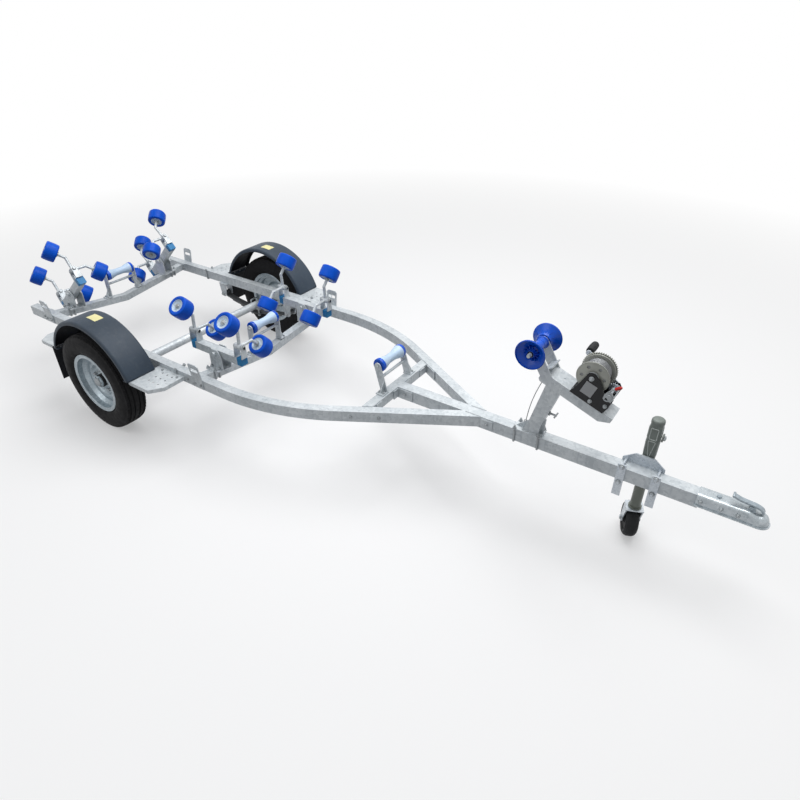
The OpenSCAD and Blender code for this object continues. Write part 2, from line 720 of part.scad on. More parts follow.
module jack_leg() {
  z0 = 2 * jockey_r + 24;
  color(zinc) place() translate([jack_x, jack_y, 0]) {
    translate([0, 0, z0]) cylinder(h = rail_top + 20 - z0, r = leg_w / 2);
    translate([0, 0, z0 - 6]) cylinder(h = 6, r = 30);
    translate([0, 0, z0 - 14]) cylinder(h = 10, r = 9);
  }
}

// Fork and wheel share a caster frame: x is the way the wheel rolls
module on_caster() {
  translate([jack_x, jack_y, 0]) rotate([0, 0, jockey_turn]) children();
}

module jockey_fork() {
  z1 = 2 * jockey_r + 17;
  yw = jockey_w / 2 + 4;
  color(zinc) place() on_caster() difference() {
    union() {
      block(-34, 36, -yw - 5, yw + 5, z1 - 6, z1);
      for (y = [-yw - 5, yw]) plate_xz(y, 5) {
        polygon([[-32, z1], [34, z1], [46, jockey_r], [10, jockey_r]]);
        translate([26, jockey_r]) circle(19);
      }
      rod_y(26, jockey_r, -yw - 14, yw + 14, 7);
    }
    translate([0, 0, z1 - 10]) cylinder(h = 20, r = 9 + run);
  }
}

module jockey_wheel() {
  r = jockey_r;
  w = jockey_w / 2;
  color(black) place() on_caster() translate([26, 0, jockey_r]) rotate([90, 0, 0])
    rotate_extrude() polygon([[7 + run, -w - 2], [20, -w - 2], [22, -w + 10], [r - 30, -w + 10],
      [r - 26, -w + 2], [r - 14, -w], [r - 5, -w + 7], [r, -w + 18], [r, w - 18], [r - 5, w - 7],
      [r - 14, w], [r - 26, w - 2], [r - 30, w - 10], [22, w - 10], [20, w + 2], [7 + run, w + 2]]);
}

// Tyre section: radius against distance from the wheel's middle
module tyre() {
  k = tyre_w / 150;
  half = [[-0.4, 56], [19, 56], [22, 60], [36, 69], [60, 75], [84, 74],
    [106, 68], [120, 60], [129, 48], [132.5, 28], [133, 0]];
  s = (tyre_r - rim_r + 18.5) / 133;
  r0 = rim_r - 18.5;
  pts = concat([for (q = half) [r0 + max(q[0] * s, eps), q[1] * k]],
    [for (i = [len(half) - 2:-1:0]) [r0 + max(half[i][0] * s, eps), -half[i][1] * k]]);
  translate([0, wheel_y, hub_z]) rotate([90, 0, 0]) rotate_extrude() polygon(pts);
}

module tyre_left() {
  color(black) place() tyre();
}

module tyre_right() {
  color(black) place() mirror([0, 1, 0]) tyre();
}

// Rim: rolled barrel, dished disc and the hub that turns on the spindle
module rim() {
  b = rim_r - 18.5;
  k = tyre_w / 150;
  color(steel) translate([0, wheel_y, hub_z]) rotate([-90, 0, 0]) rotate_extrude()
    polygon([[rim_r, -63 * k], [rim_r, -58 * k], [b, -56 * k], [b, -40 * k], [b - 18, -30 * k],
      [b - 18, 6 * k], [b, 26 * k], [b, 56 * k], [rim_r, 58 * k], [rim_r, 63 * k],
      [b - 5, 60 * k], [b - 5, 28 * k], [b - 24, 8 * k], [96, 14], [84, -2], [52, -2],
      [50, -2], [50, 6], [34, 6], [34, 34], [26, 40], [1, 40], [1, 34], [spindle_r + run, 34],
      [spindle_r + run, -84], [44, -84], [44, -12], [82, -12], [84, -9], [92, 4],
      [b - 24, -4], [b - 24, -32 * k], [b - 5, -42 * k], [b - 5, -60 * k]]);
}

module rim_left() {
  place() rim();
}

module rim_right() {
  place() mirror([0, 1, 0]) rim();
}

// Cradle frames: one for each beam, and one for each arm on it
module in_beam(px, pz, tilt) {
  translate([px, beam_y, pz]) rotate([0, -tilt, 0]) children();
}

module in_arm(end) {
  translate([end * arm_reach, 0, arm_lift]) rotate([arm_roll, 0, 0]) children();
}

// Cradle beam: box tube with a pair of ears and a pin at each end for an arm
module beam() {
  b = beam_w / 2;
  h = beam_len / 2;
  color(steel) {
    difference() {
      block(-h, h, -b, b, -b, b);
      rod_y(0, 0, -b - 5, b + 5, 9 + run);
    }
    for (e = [-1, 1]) translate([e * arm_reach, 0, 0]) {
      for (x = [-30, 25]) plate_yz(x, 5) {
        translate([0, arm_lift]) circle(16);
        polygon([[1 - b, b - 2], [b - 1, b - 2], [15.5, arm_lift + 4], [-15.5, arm_lift + 4]]);
      }
      rod_x(0, arm_lift, -38, 38, 8);
    }
  }
}

module beam_mid_left() {
  place() in_beam(mid_px, beam_pz, 0) beam();
}

module beam_mid_right() {
  place() mirror([0, 1, 0]) in_beam(mid_px, beam_pz, 0) beam();
}

module beam_rear_left() {
  place() in_beam(rear_px, rear_pz, rear_tilt_left) beam();
}

module beam_rear_right() {
  place() mirror([0, 1, 0]) in_beam(rear_px, rear_pz, rear_tilt) beam();
}

// Arm: bored boss with a bent rod to each side for its two rollers
module arm() {
  tip = roller_out + roller_w / 2 - 2;
  collar = roller_out - roller_w / 2 - 1;
  nut = roller_out + roller_w / 2 - 9;
  color(steel) difference() {
    union() {
      rod_x(0, 0, -22, 22, 18);
      for (s = [-1, 1]) {
        rod([0, s * 62, roller_rise], [0, s * 8, 8], rod_r);
        rod([0, s * 62, roller_rise], [0, s * tip, roller_rise], rod_r);
        for (c = [collar, nut]) rod_y(0, roller_rise, s * c - 2, s * c + 2, 14);
      }
    }
    rod_x(0, 0, -30, 30, 8 + run);
  }
}

module roller_profile() {
  h = roller_w / 2;
  polygon([[rod_r + run, 4 - h], [34, 4 - h], [38, -h], [roller_r - 10, -h], [roller_r - 3, 3 - h],
    [roller_r, 10 - h], [roller_r, h - 10], [roller_r - 3, h - 3], [roller_r - 10, h],
    [38, h], [34, h - 12], [rod_r + run, h - 12]]);
}

module roller(side) {
  color(blue) translate([0, side * roller_out, roller_rise]) rotate([-90 * side, 0, 0])
    rotate_extrude() roller_profile();
}

module arm_mid_left_front() {
  place() in_beam(mid_px, beam_pz, 0) in_arm(1) arm();
}

module arm_mid_left_back() {
  place() in_beam(mid_px, beam_pz, 0) in_arm(-1) arm();
}

module arm_mid_right_front() {
  place() mirror([0, 1, 0]) in_beam(mid_px, beam_pz, 0) in_arm(1) arm();
}

module arm_mid_right_back() {
  place() mirror([0, 1, 0]) in_beam(mid_px, beam_pz, 0) in_arm(-1) arm();
}

module arm_rear_left_front() {
  place() in_beam(rear_px, rear_pz, rear_tilt_left) in_arm(1) arm();
}

module arm_rear_left_back() {
  place() in_beam(rear_px, rear_pz, rear_tilt_left) in_arm(-1) arm();
}

module arm_rear_right_front() {
  place() mirror([0, 1, 0]) in_beam(rear_px, rear_pz, rear_tilt) in_arm(1) arm();
}

module arm_rear_right_back() {
  place() mirror([0, 1, 0]) in_beam(rear_px, rear_pz, rear_tilt) in_arm(-1) arm();
}

module mid_roller(end, side) {
  in_beam(mid_px, beam_pz, 0) in_arm(end) roller(side);
}

module rear_roller(tilt, end, side) {
  in_beam(rear_px, rear_pz, tilt) in_arm(end) roller(side);
}

module roller_mid_left_front_out() {
  place() mid_roller(1, 1);
}

module roller_mid_left_front_in() {
  place() mid_roller(1, -1);
}

module roller_mid_left_back_out() {
  place() mid_roller(-1, 1);
}

module roller_mid_left_back_in() {
  place() mid_roller(-1, -1);
}

module roller_mid_right_front_out() {
  place() mirror([0, 1, 0]) mid_roller(1, 1);
}

module roller_mid_right_front_in() {
  place() mirror([0, 1, 0]) mid_roller(1, -1);
}

module roller_mid_right_back_out() {
  place() mirror([0, 1, 0]) mid_roller(-1, 1);
}

module roller_mid_right_back_in() {
  place() mirror([0, 1, 0]) mid_roller(-1, -1);
}

module roller_rear_left_front_out() {
  place() rear_roller(rear_tilt_left, 1, 1);
}

module roller_rear_left_front_in() {
  place() rear_roller(rear_tilt_left, 1, -1);
}

module roller_rear_left_back_out() {
  place() rear_roller(rear_tilt_left, -1, 1);
}

module roller_rear_left_back_in() {
  place() rear_roller(rear_tilt_left, -1, -1);
}

module roller_rear_right_front_out() {
  place() mirror([0, 1, 0]) rear_roller(rear_tilt, 1, 1);
}

module roller_rear_right_front_in() {
  place() mirror([0, 1, 0]) rear_roller(rear_tilt, 1, -1);
}

module roller_rear_right_back_out() {
  place() mirror([0, 1, 0]) rear_roller(rear_tilt, -1, 1);
}

module roller_rear_right_back_in() {
  place() mirror([0, 1, 0]) rear_roller(rear_tilt, -1, -1);
}

side_rails();
crossmembers();
drawbar();
coupling();
axle();
leaf_springs();
spring_hangers();
mudguards();
step_plates();
tie_down_plates();
beam_brackets();
keel_brackets();
winch_post();
winch_frame();
winch_cable();
jack_bracket();
jack_housing();
jack_leg();
jockey_fork();
jockey_wheel();
winch_drum();
winch_crank();
bow_roller();
keel_roller_rear();
keel_roller_mid();
keel_roller_front();
tyre_left();
tyre_right();
rim_left();
rim_right();
beam_mid_left();
beam_mid_right();
beam_rear_left();
beam_rear_right();
arm_mid_left_front();
arm_mid_left_back();
arm_mid_right_front();
arm_mid_right_back();
arm_rear_left_front();
arm_rear_left_back();
arm_rear_right_front();
arm_rear_right_back();
roller_mid_left_front_out();
roller_mid_left_front_in();
roller_mid_left_back_out();
roller_mid_left_back_in();
roller_mid_right_front_out();
roller_mid_right_front_in();
roller_mid_right_back_out();
roller_mid_right_back_in();
roller_rear_left_front_out();
roller_rear_left_front_in();
roller_rear_left_back_out();
roller_rear_left_back_in();
roller_rear_right_front_out();
roller_rear_right_front_in();
roller_rear_right_back_out();
roller_rear_right_back_in();
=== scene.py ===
# Boat trailer on its jockey wheel: finishes, tread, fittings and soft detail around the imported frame
import bmesh
import bpy
import json
import math
import numpy as np
from mathutils import Matrix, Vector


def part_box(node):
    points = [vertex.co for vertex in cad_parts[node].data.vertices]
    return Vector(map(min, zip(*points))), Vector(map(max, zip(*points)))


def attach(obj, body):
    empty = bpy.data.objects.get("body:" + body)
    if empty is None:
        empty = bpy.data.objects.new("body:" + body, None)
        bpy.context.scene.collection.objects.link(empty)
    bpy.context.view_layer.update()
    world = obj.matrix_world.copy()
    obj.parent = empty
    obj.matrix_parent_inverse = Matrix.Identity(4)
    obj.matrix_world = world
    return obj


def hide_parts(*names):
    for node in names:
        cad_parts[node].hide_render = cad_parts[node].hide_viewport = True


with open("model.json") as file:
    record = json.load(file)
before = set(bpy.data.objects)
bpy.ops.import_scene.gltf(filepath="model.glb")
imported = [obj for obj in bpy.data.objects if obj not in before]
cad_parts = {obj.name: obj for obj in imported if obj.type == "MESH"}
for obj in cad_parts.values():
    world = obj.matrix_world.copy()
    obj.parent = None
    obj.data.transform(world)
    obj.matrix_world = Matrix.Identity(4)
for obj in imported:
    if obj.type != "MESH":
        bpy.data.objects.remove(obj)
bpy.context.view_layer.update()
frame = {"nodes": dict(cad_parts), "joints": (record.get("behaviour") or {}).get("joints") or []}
joints = {joint["name"]: joint for joint in frame["joints"]}
print("frame loaded")


def boxOf(node):
    low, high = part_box(node)
    return np.array(low), np.array(high)


axleLow, axleHigh = boxOf("axle")
axleX = (axleLow[0] + axleHigh[0]) / 2
hubZ = (axleLow[2] + axleHigh[2]) / 2
railTop = boxOf("drawbar")[1][2]
along = np.array([1.0, 0.0, 0.0])
across = np.array([0.0, 1.0, 0.0])
up = np.array([0.0, 0.0, 1.0])


def at(x, y, z):
    # a point given from the axle's middle line on the floor
    return np.array([axleX + x, y, z])


def jointPlace(name):
    # the pivot of a joint and its axis, one unit long
    joint = joints[name]
    axis = np.array(joint["axis"], float)
    return np.array(joint["pos_m"], float), axis / np.linalg.norm(axis)


def jointsOf(kind, motion):
    # the bodies whose joint is named kind_..._motion, in the frame's order
    return [name[:-len(motion)] for name in joints if name.startswith(kind) and name.endswith(motion)]


cameraSize = {"x": 3.1653, "y": -2.249, "z": 2.1734, "turn": 34.56, "pitch": 33.79, "roll": -0.48,
              "lens": 27.32}
studioSize = {"world": 0.24, "key": 62, "top": 275, "floor": 60, "plain": 1.6, "white": 6.5, "least": 0.35}


def makeCamera():
    turn, pitch, roll = (math.radians(cameraSize[k]) for k in ("turn", "pitch", "roll"))
    right = np.array([math.cos(turn), math.sin(turn), 0])
    ahead = np.array([-math.sin(turn) * math.cos(pitch), math.cos(turn) * math.cos(pitch),
                      -math.sin(pitch)])
    top = np.cross(right, ahead)
    rightRolled = math.cos(roll) * right + math.sin(roll) * top
    topRolled = -math.sin(roll) * right + math.cos(roll) * top
    data = bpy.data.cameras.new("camera")
    data.lens = cameraSize["lens"]
    data.sensor_width = 36
    data.clip_end = 200
    camera = bpy.data.objects.new("camera", data)
    bpy.context.scene.collection.objects.link(camera)
    place = at(cameraSize["x"], cameraSize["y"], cameraSize["z"])
    columns = np.eye(4)
    columns[:3, 0], columns[:3, 1], columns[:3, 2], columns[:3, 3] = (
        rightRolled, topRolled, -ahead, place)
    camera.matrix_world = Matrix(columns.tolist())
    bpy.context.scene.camera = camera


def areaLamp(name, place, target, size, power):
    data = bpy.data.lights.new(name, "AREA")
    data.shape = "RECTANGLE"
    data.size, data.size_y = size
    data.energy = power
    lamp = bpy.data.objects.new(name, data)
    back = np.array(place, float) - np.array(target, float)
    back /= np.linalg.norm(back)
    side = np.cross([0.0, 0.0, 1.0], back)
    side = side / np.linalg.norm(side) if np.linalg.norm(side) > 1e-6 else np.array([1.0, 0, 0])
    columns = np.eye(4)
    columns[:3, 0], columns[:3, 1], columns[:3, 2], columns[:3, 3] = side, np.cross(back, side), back, place
    lamp.matrix_world = Matrix(columns.tolist())
    bpy.context.scene.collection.objects.link(lamp)


def pairNode(nodes, links, how, first, second):
    # a maths node over two sockets
    node = nodes.new("ShaderNodeMath")
    node.operation = how
    links.new(first, node.inputs[0])
    links.new(second, node.inputs[1])
    return node.outputs[0]


def seenDirectly(nodes, links):
    # 1 for camera, glossy and transmission rays, 0 for the rest
    rays = nodes.new("ShaderNodeLightPath").outputs
    bare = pairNode(nodes, links, "MAXIMUM", rays["Is Camera Ray"], rays["Is Glossy Ray"])
    return pairNode(nodes, links, "MAXIMUM", bare, rays["Is Transmission Ray"])


def mixColour(nodes, links, factor, first, second, how="MIX"):
    texture = nodes.new("ShaderNodeMix")
    texture.data_type = "RGBA"
    texture.blend_type = how
    for socket, value in (("Factor", factor), ("A", first), ("B", second)):
        target = [s for s in texture.inputs if s.name == socket and s.enabled][0]
        if isinstance(value, (int, float)):
            target.default_value = value
        elif isinstance(value, tuple):
            target.default_value = (*value, 1)
        else:
            links.new(value, target)
    return [s for s in texture.outputs if s.enabled][0]


def spread(nodes, links, value, low, high, start=0.3, end=0.7):
    # maps the middle of a noise, start to end, onto low to high
    texture = nodes.new("ShaderNodeMapRange")
    texture.inputs["From Min"].default_value = start
    texture.inputs["From Max"].default_value = end
    texture.inputs["To Min"].default_value = low
    texture.inputs["To Max"].default_value = high
    links.new(value, texture.inputs["Value"])
    return texture.outputs[0]


def makeStudio():
    scene = bpy.context.scene
    scene.view_settings.view_transform = "Standard"
    world = bpy.data.worlds.new("studio")
    scene.world = world
    world.use_nodes = True
    nodes, links = world.node_tree.nodes, world.node_tree.links
    nodes.clear()
    out = nodes.new("ShaderNodeOutputWorld")
    lit = nodes.new("ShaderNodeBackground")
    lit.inputs["Color"].default_value = (0.93, 0.96, 1.0, 1)
    lit.inputs["Strength"].default_value = studioSize["world"]
    seen = nodes.new("ShaderNodeBackground")
    seen.inputs["Color"].default_value = (1, 1, 1, 1)
    seen.inputs["Strength"].default_value = 1.0
    mix = nodes.new("ShaderNodeMixShader")
    links.new(seenDirectly(nodes, links), mix.inputs[0])
    links.new(lit.outputs[0], mix.inputs[1])
    links.new(seen.outputs[0], mix.inputs[2])
    links.new(mix.outputs[0], out.inputs[0])
    areaLamp("keyLamp", (-1.5, -3.2, 4.6), (0, 0, 0.3), (4.0, 3.0), studioSize["key"])
    areaLamp("topLamp", (0.6, 1.2, 5.2), (0, 0, 0.3), (5.0, 4.0), studioSize["top"])

    bpy.ops.mesh.primitive_circle_add(vertices=96, radius=studioSize["floor"], fill_type="NGON")
    floor = bpy.context.object
    floor.name = "floor"
    mat = bpy.data.materials.new("paleFloor")
    mat.use_nodes = True
    nodes, links = mat.node_tree.nodes, mat.node_tree.links
    shader = nodes["Principled BSDF"]
    shader.inputs["Roughness"].default_value = 0.9
    glow = nodes.new("ShaderNodeEmission")
    glow.inputs["Strength"].default_value = 1.0
    direct = seenDirectly(nodes, links)
    # the floor sends less light up at the trailer than it shows to the camera
    links.new(mixColour(nodes, links, direct, (0.27, 0.27, 0.28), (0.86, 0.86, 0.865)),
              shader.inputs["Base Color"])
    # plain near the trailer, fading to pure white with the distance from the middle
    length = nodes.new("ShaderNodeVectorMath")
    length.operation = "LENGTH"
    links.new(nodes.new("ShaderNodeTexCoord").outputs["Object"], length.inputs[0])
    fade = spread(nodes, links, length.outputs["Value"], studioSize["least"], 1.0, studioSize["plain"],
                  studioSize["white"])
    blend = nodes.new("ShaderNodeMixShader")
    links.new(pairNode(nodes, links, "MULTIPLY", fade, direct), blend.inputs[0])
    links.new(shader.outputs[0], blend.inputs[1])
    links.new(glow.outputs[0], blend.inputs[2])
    links.new(blend.outputs[0], nodes["Material Output"].inputs["Surface"])
    floor.data.materials.append(mat)


makeCamera()
makeStudio()
print("camera, lamps and floor made")


def newFinish(name):
    mat = bpy.data.materials.new(name)
    mat.use_nodes = True
    nodes, links = mat.node_tree.nodes, mat.node_tree.links
    coord = nodes.new("ShaderNodeTexCoord")
    return mat, nodes, links, nodes["Principled BSDF"], coord.outputs["Object"]


def noise(nodes, links, coord, scale, detail=4.0, rough=0.55, stretch=None):
    source = coord
    if stretch:
        mapping = nodes.new("ShaderNodeMapping")
        mapping.inputs["Scale"].default_value = stretch
        links.new(coord, mapping.inputs["Vector"])
        source = mapping.outputs[0]
    texture = nodes.new("ShaderNodeTexNoise")
    texture.inputs["Scale"].default_value = scale
    texture.inputs["Detail"].default_value = detail
    texture.inputs["Roughness"].default_value = rough
    links.new(source, texture.inputs["Vector"])
    return texture.outputs["Fac"]


def ramp(nodes, links, value, stops):
    texture = nodes.new("ShaderNodeValToRGB")
    bar = texture.color_ramp
    while len(bar.elements) < len(stops):
        bar.elements.new(0.5)
    for element, (place, colour) in zip(bar.elements, stops):
        element.position = place
        element.color = (*colour, 1) if len(colour) == 3 else colour
    links.new(value, texture.inputs["Fac"])
    return texture.outputs["Color"]


def bump(nodes, links, shader, height, distance, strength=1.0):
    texture = nodes.new("ShaderNodeBump")
    texture.inputs["Strength"].default_value = strength
    texture.inputs["Distance"].default_value = distance
    links.new(height, texture.inputs["Height"])
    links.new(texture.outputs[0], shader.inputs["Normal"])


def galvanisedFinish(name, pale, mid, dark, metallic=0.55, rough=(0.30, 0.50), cell=75):
    # zinc crystals with soft feathering, cloudy patches, run marks and a fine grain
    mat, nodes, links, shader, coord = newFinish(name)
    warp = noise(nodes, links, coord, 45, 2)
    shift = nodes.new("ShaderNodeVectorMath")
    shift.operation = "MULTIPLY_ADD"
    links.new(warp, shift.inputs[0])
    shift.inputs[1].default_value = (0.012, 0.012, 0.012)
    links.new(coord, shift.inputs[2])
    crystals = nodes.new("ShaderNodeTexVoronoi")
    crystals.inputs["Scale"].default_value = cell
    links.new(shift.outputs[0], crystals.inputs["Vector"])
    split = nodes.new("ShaderNodeSeparateColor")
    links.new(crystals.outputs["Color"], split.inputs[0])
    flakes = ramp(nodes, links, split.outputs[0], [(0.0, dark), (0.45, mid), (1.0, pale)])
    clouds = ramp(nodes, links, noise(nodes, links, coord, 5, 5), [(0.3, dark), (0.52, mid), (0.75, pale)])
    base = mixColour(nodes, links, 0.45, clouds, flakes)
    runs = ramp(nodes, links, noise(nodes, links, coord, 9, 3, 0.5, (6, 6, 0.8)),
                [(0.0, (1, 1, 1)), (0.56, (1, 1, 1)), (0.78, (0.80, 0.82, 0.84))])
    links.new(mixColour(nodes, links, 1.0, base, runs, "MULTIPLY"), shader.inputs["Base Color"])
    links.new(spread(nodes, links, noise(nodes, links, coord, 28, 4), *rough), shader.inputs["Roughness"])
    shader.inputs["Metallic"].default_value = metallic
    bump(nodes, links, shader, noise(nodes, links, coord, 260, 5, 0.6), 0.0006, 0.5)
    return mat


def plainFinish(name, colour, vary=0.12, rough=(0.35, 0.5), metallic=0.0, grain=300, depth=0.0004,
                coat=0.0, patch=8, dust=None, specular=None):
    # a base colour that drifts a little, uneven gloss and a fine moulded or painted grain
    mat, nodes, links, shader, coord = newFinish(name)
    low = tuple(c * (1 - vary) for c in colour)
    high = tuple(min(1, c * (1 + vary) + 0.004) for c in colour)
    base = ramp(nodes, links, noise(nodes, links, coord, patch, 5), [(0.3, low), (0.7, high)])
    if dust:
        specks = ramp(nodes, links, noise(nodes, links, coord, 38, 6, 0.7),
                      [(0.5, (0, 0, 0)), (0.82, (0.45, 0.45, 0.45))])
        base = mixColour(nodes, links, specks, base, dust)
    links.new(base, shader.inputs["Base Color"])
    links.new(spread(nodes, links, noise(nodes, links, coord, 40, 4), *rough), shader.inputs["Roughness"])
    shader.inputs["Metallic"].default_value = metallic
    if coat:
        shader.inputs["Coat Weight"].default_value = coat
        shader.inputs["Coat Roughness"].default_value = 0.12
    if specular is not None:
        shader.inputs["Specular IOR Level"].default_value = specular
    bump(nodes, links, shader, noise(nodes, links, coord, grain, 4, 0.6), depth, 0.6)
    return mat


def strandFinish(name, colour):
    # wire strands: a diagonal wave that twists round the rope, with painted shade in the grooves between the
    # strands
    mat, nodes, links, shader, coord = newFinish(name)
    wave = nodes.new("ShaderNodeTexWave")
    wave.wave_type = "BANDS"
    wave.bands_direction = "DIAGONAL"
    wave.inputs["Scale"].default_value = 130
    wave.inputs["Distortion"].default_value = 0.6
    links.new(coord, wave.inputs["Vector"])
    # painted shade: the grooves between the strands are darkened to 0.35 of the wire's colour
    dark = tuple(c * 0.35 for c in colour)
    strandsAndGrooveShade = ramp(nodes, links, wave.outputs["Fac"], [(0.1, dark), (0.6, colour)])
    links.new(strandsAndGrooveShade, shader.inputs["Base Color"])
    shader.inputs["Metallic"].default_value = 0.7
    shader.inputs["Roughness"].default_value = 0.42
    bump(nodes, links, shader, wave.outputs["Fac"], 0.0006, 0.8)
    return mat


finishes = {
    "galvanised": galvanisedFinish("galvanisedSteel", (0.70, 0.735, 0.755), (0.56, 0.60, 0.625),
                                   (0.41, 0.45, 0.475), 0.24, (0.34, 0.52)),
    "zinc": galvanisedFinish("brightZinc", (0.72, 0.76, 0.80), (0.57, 0.62, 0.67), (0.40, 0.45, 0.51),
                             0.42, (0.24, 0.38), 150),
    "rim": galvanisedFinish("rimZinc", (0.58, 0.64, 0.68), (0.42, 0.49, 0.53), (0.27, 0.33, 0.37),
                            0.45, (0.26, 0.40), 110),
    "spring": plainFinish("springPaint", (0.10, 0.105, 0.11), 0.2, (0.4, 0.6), 0.2, 220, 0.0006,
                          specular=0.3),
    "guard": plainFinish("guardPlastic", (0.034, 0.050, 0.072), 0.14, (0.42, 0.56), 0, 420, 0.0004, 0, 5,
                         (0.075, 0.09, 0.105), 0.26),
    # dark plastic: the colour of the rear flaps and the rail end plugs, and painted shade on the inside faces
    # of the mudguard arches
    "darkPlasticAndArchShade": plainFinish("darkPlasticAndArchShade", (0.011, 0.012, 0.015), 0.2, (0.55, 0.75), 0, 300, 0.0006,
                               specular=0.2),
    "blackPaint": plainFinish("blackPaint", (0.007, 0.007, 0.009), 0.2, (0.24, 0.38), 0, 350, 0.0002, 0.12,
                              specular=0.22),
    "jackPaint": plainFinish("jackPaint", (0.19, 0.215, 0.20), 0.14, (0.38, 0.52), 0.1, 380, 0.0004,
                             specular=0.3),
    "legPaint": plainFinish("legPaint", (0.17, 0.185, 0.16), 0.15, (0.34, 0.5), 0.2, 260, 0.0004,
                            specular=0.35),
    "drum": plainFinish("drumZinc", (0.36, 0.37, 0.335), 0.15, (0.32, 0.48), 0.3, 240, 0.0004, specular=0.4),
    "bolt": plainFinish("boltZinc", (0.36, 0.385, 0.40), 0.25, (0.26, 0.4), 0.4, 300, 0.0003),
    "clampZinc": galvanisedFinish("clampZinc", (0.50, 0.56, 0.60), (0.36, 0.42, 0.46), (0.24, 0.29, 0.33),
                                  0.35, (0.28, 0.42), 130),
    # lighter grey for the housing's raised ridges: painted highlight where the ridges catch the light
    "jackRidgeHighlight": plainFinish("jackRidgeHighlight", (0.50, 0.54, 0.52), 0.15, (0.34, 0.48), 0.2, 300, 0.0003,
                            specular=0.35),
    "couplingSide": galvanisedFinish("couplingZinc", (0.66, 0.70, 0.73), (0.52, 0.57, 0.60),
                                     (0.38, 0.43, 0.46), 0.45, (0.20, 0.32), 90),
    "weld": plainFinish("weldBead", (0.42, 0.45, 0.47), 0.2, (0.38, 0.52), 0.25, 180, 0.0010),
    "blueRubber": plainFinish("blueRoller", (0.0, 0.083, 0.58), 0.14, (0.32, 0.44), 0, 260, 0.0004, 0, 14,
                              specular=0.14),
    "blueGloss": plainFinish("blueGloss", (0.0, 0.085, 0.58), 0.14, (0.16, 0.24), 0, 200, 0.0003, 0.08, 10,
                             specular=0.24),
    "hubPlastic": plainFinish("hubPlastic", (0.55, 0.66, 0.77), 0.08, (0.35, 0.45), 0, 300, 0.0003,
                              specular=0.35),
    "capPlastic": plainFinish("capPlastic", (0.010, 0.19, 0.44), 0.12, (0.3, 0.42), 0, 260, 0.0003,
                              specular=0.3),
    # pale blue that stands in for the highlight along the keel spools' middle: painted highlight on a blue
    # roller
    "highlightPaintedSpool": plainFinish("highlightPaintedSpool", (0.53, 0.68, 0.86), 0.08, (0.30, 0.42), 0, 260, 0.0003, 0.08,
                              specular=0.35),
    "tyre": plainFinish("tyreRubber", (0.0095, 0.0095, 0.0105), 0.25, (0.62, 0.82), 0, 330, 0.0006, 0, 6,
                        (0.026, 0.025, 0.024), 0.15),
    "jockeyRubber": plainFinish("jockeyRubber", (0.017, 0.018, 0.019), 0.2, (0.55, 0.7), 0, 300, 0.0005,
                                specular=0.2),
    "grip": plainFinish("gripRubber", (0.012, 0.013, 0.014), 0.2, (0.5, 0.66), 0, 320, 0.0005, specular=0.25),
    "redTip": plainFinish("redTip", (0.55, 0.012, 0.008), 0.1, (0.3, 0.4), 0, 200, 0.0002, 0.1, specular=0.3),
    "label": plainFinish("blankLabel", (0.42, 0.43, 0.44), 0.06, (0.3, 0.4), 0, 200, 0.0001, specular=0.3),
    "paleLabel": plainFinish("paleYellowLabel", (0.78, 0.72, 0.36), 0.08, (0.3, 0.4), 0, 200, 0.0001,
                             specular=0.3),
    "wire": strandFinish("wireRope", (0.30, 0.31, 0.32)),
}
print("finishes made:", len(finishes))


def shape(points, faces, finish=0):
    # a shape is its points, its faces and the finish number of each face
    faces = [list(face) for face in faces]
    return np.asarray(points, float), faces, [finish] * len(faces)


def gridFaces(rows, columns, wrapRows, wrapColumns):
    # four-sided faces between neighbours on a grid, going round where a direction is closed
    i = np.arange(rows if wrapRows else rows - 1)
    j = np.arange(columns if wrapColumns else columns - 1)
    a, b = (m.ravel() for m in np.meshgrid(i, j, indexing="ij"))
    c, d = (a + 1) % rows, (b + 1) % columns
    return np.stack([a * columns + b, c * columns + b, c * columns + d, a * columns + d], 1).tolist()


def endFaces(columns, rows):
    # the two faces that close a grid of rings at its ends
    return [list(range(columns))[::-1], [(rows - 1) * columns + k for k in range(columns)]]


def frameOf(axis):
    # two unit vectors square to an axis and to each other
    axis = np.asarray(axis, float) / np.linalg.norm(axis)
    guide = up if abs(axis[2]) < 0.9 else along
    first = np.cross(guide, axis)
    first /= np.linalg.norm(first)
    return axis, first, np.cross(axis, first)


def lathe(profile, centre, axis, steps=48, closed=True, finish=0, turn=0.0):
    # point = centre + h * axis + r * (cos t * u + sin t * v), for each (r, h) of the profile and angle t
    axis, u, v = frameOf(axis)
    profile = np.asarray(profile, float)
    t = np.linspace(0, 2 * np.pi, steps, endpoint=False) + turn
    ring = np.cos(t)[:, None] * u + np.sin(t)[:, None] * v
    points = (np.asarray(centre) + profile[None, :, 1, None] * axis
              + profile[None, :, 0, None] * ring[:, None, :])
    return shape(points.reshape(-1, 3), gridFaces(steps, len(profile), True, closed), finish)


def sweep(outline, path, guide, closedPath=False, finish=0):
    # point = path(s) + a * side(s) + b * over(s), where side is square to the path and the guide
    path = np.asarray(path, float)
    outline = np.asarray(outline, float)
    step = np.roll(path, -1, 0) - np.roll(path, 1, 0)
    if not closedPath:
        step[0], step[-1] = path[1] - path[0], path[-1] - path[-2]
    step /= np.linalg.norm(step, axis=1)[:, None]
    side = np.cross(np.asarray(guide, float), step)
    side /= np.linalg.norm(side, axis=1)[:, None]
    over = np.cross(step, side)
    points = (path[:, None, :] + outline[None, :, 0, None] * side[:, None, :]
              + outline[None, :, 1, None] * over[:, None, :])
    faces = gridFaces(len(path), len(outline), closedPath, True)
    if not closedPath:
        faces += endFaces(len(outline), len(path))
    return shape(points.reshape(-1, 3), faces, finish)


def circle(radius, sides=12):
    t = np.linspace(0, 2 * np.pi, sides, endpoint=False)
    return np.stack([radius * np.cos(t), radius * np.sin(t)], 1)


def tube(path, radius, guide=up, sides=12):
    return sweep(circle(radius, sides), path, guide)


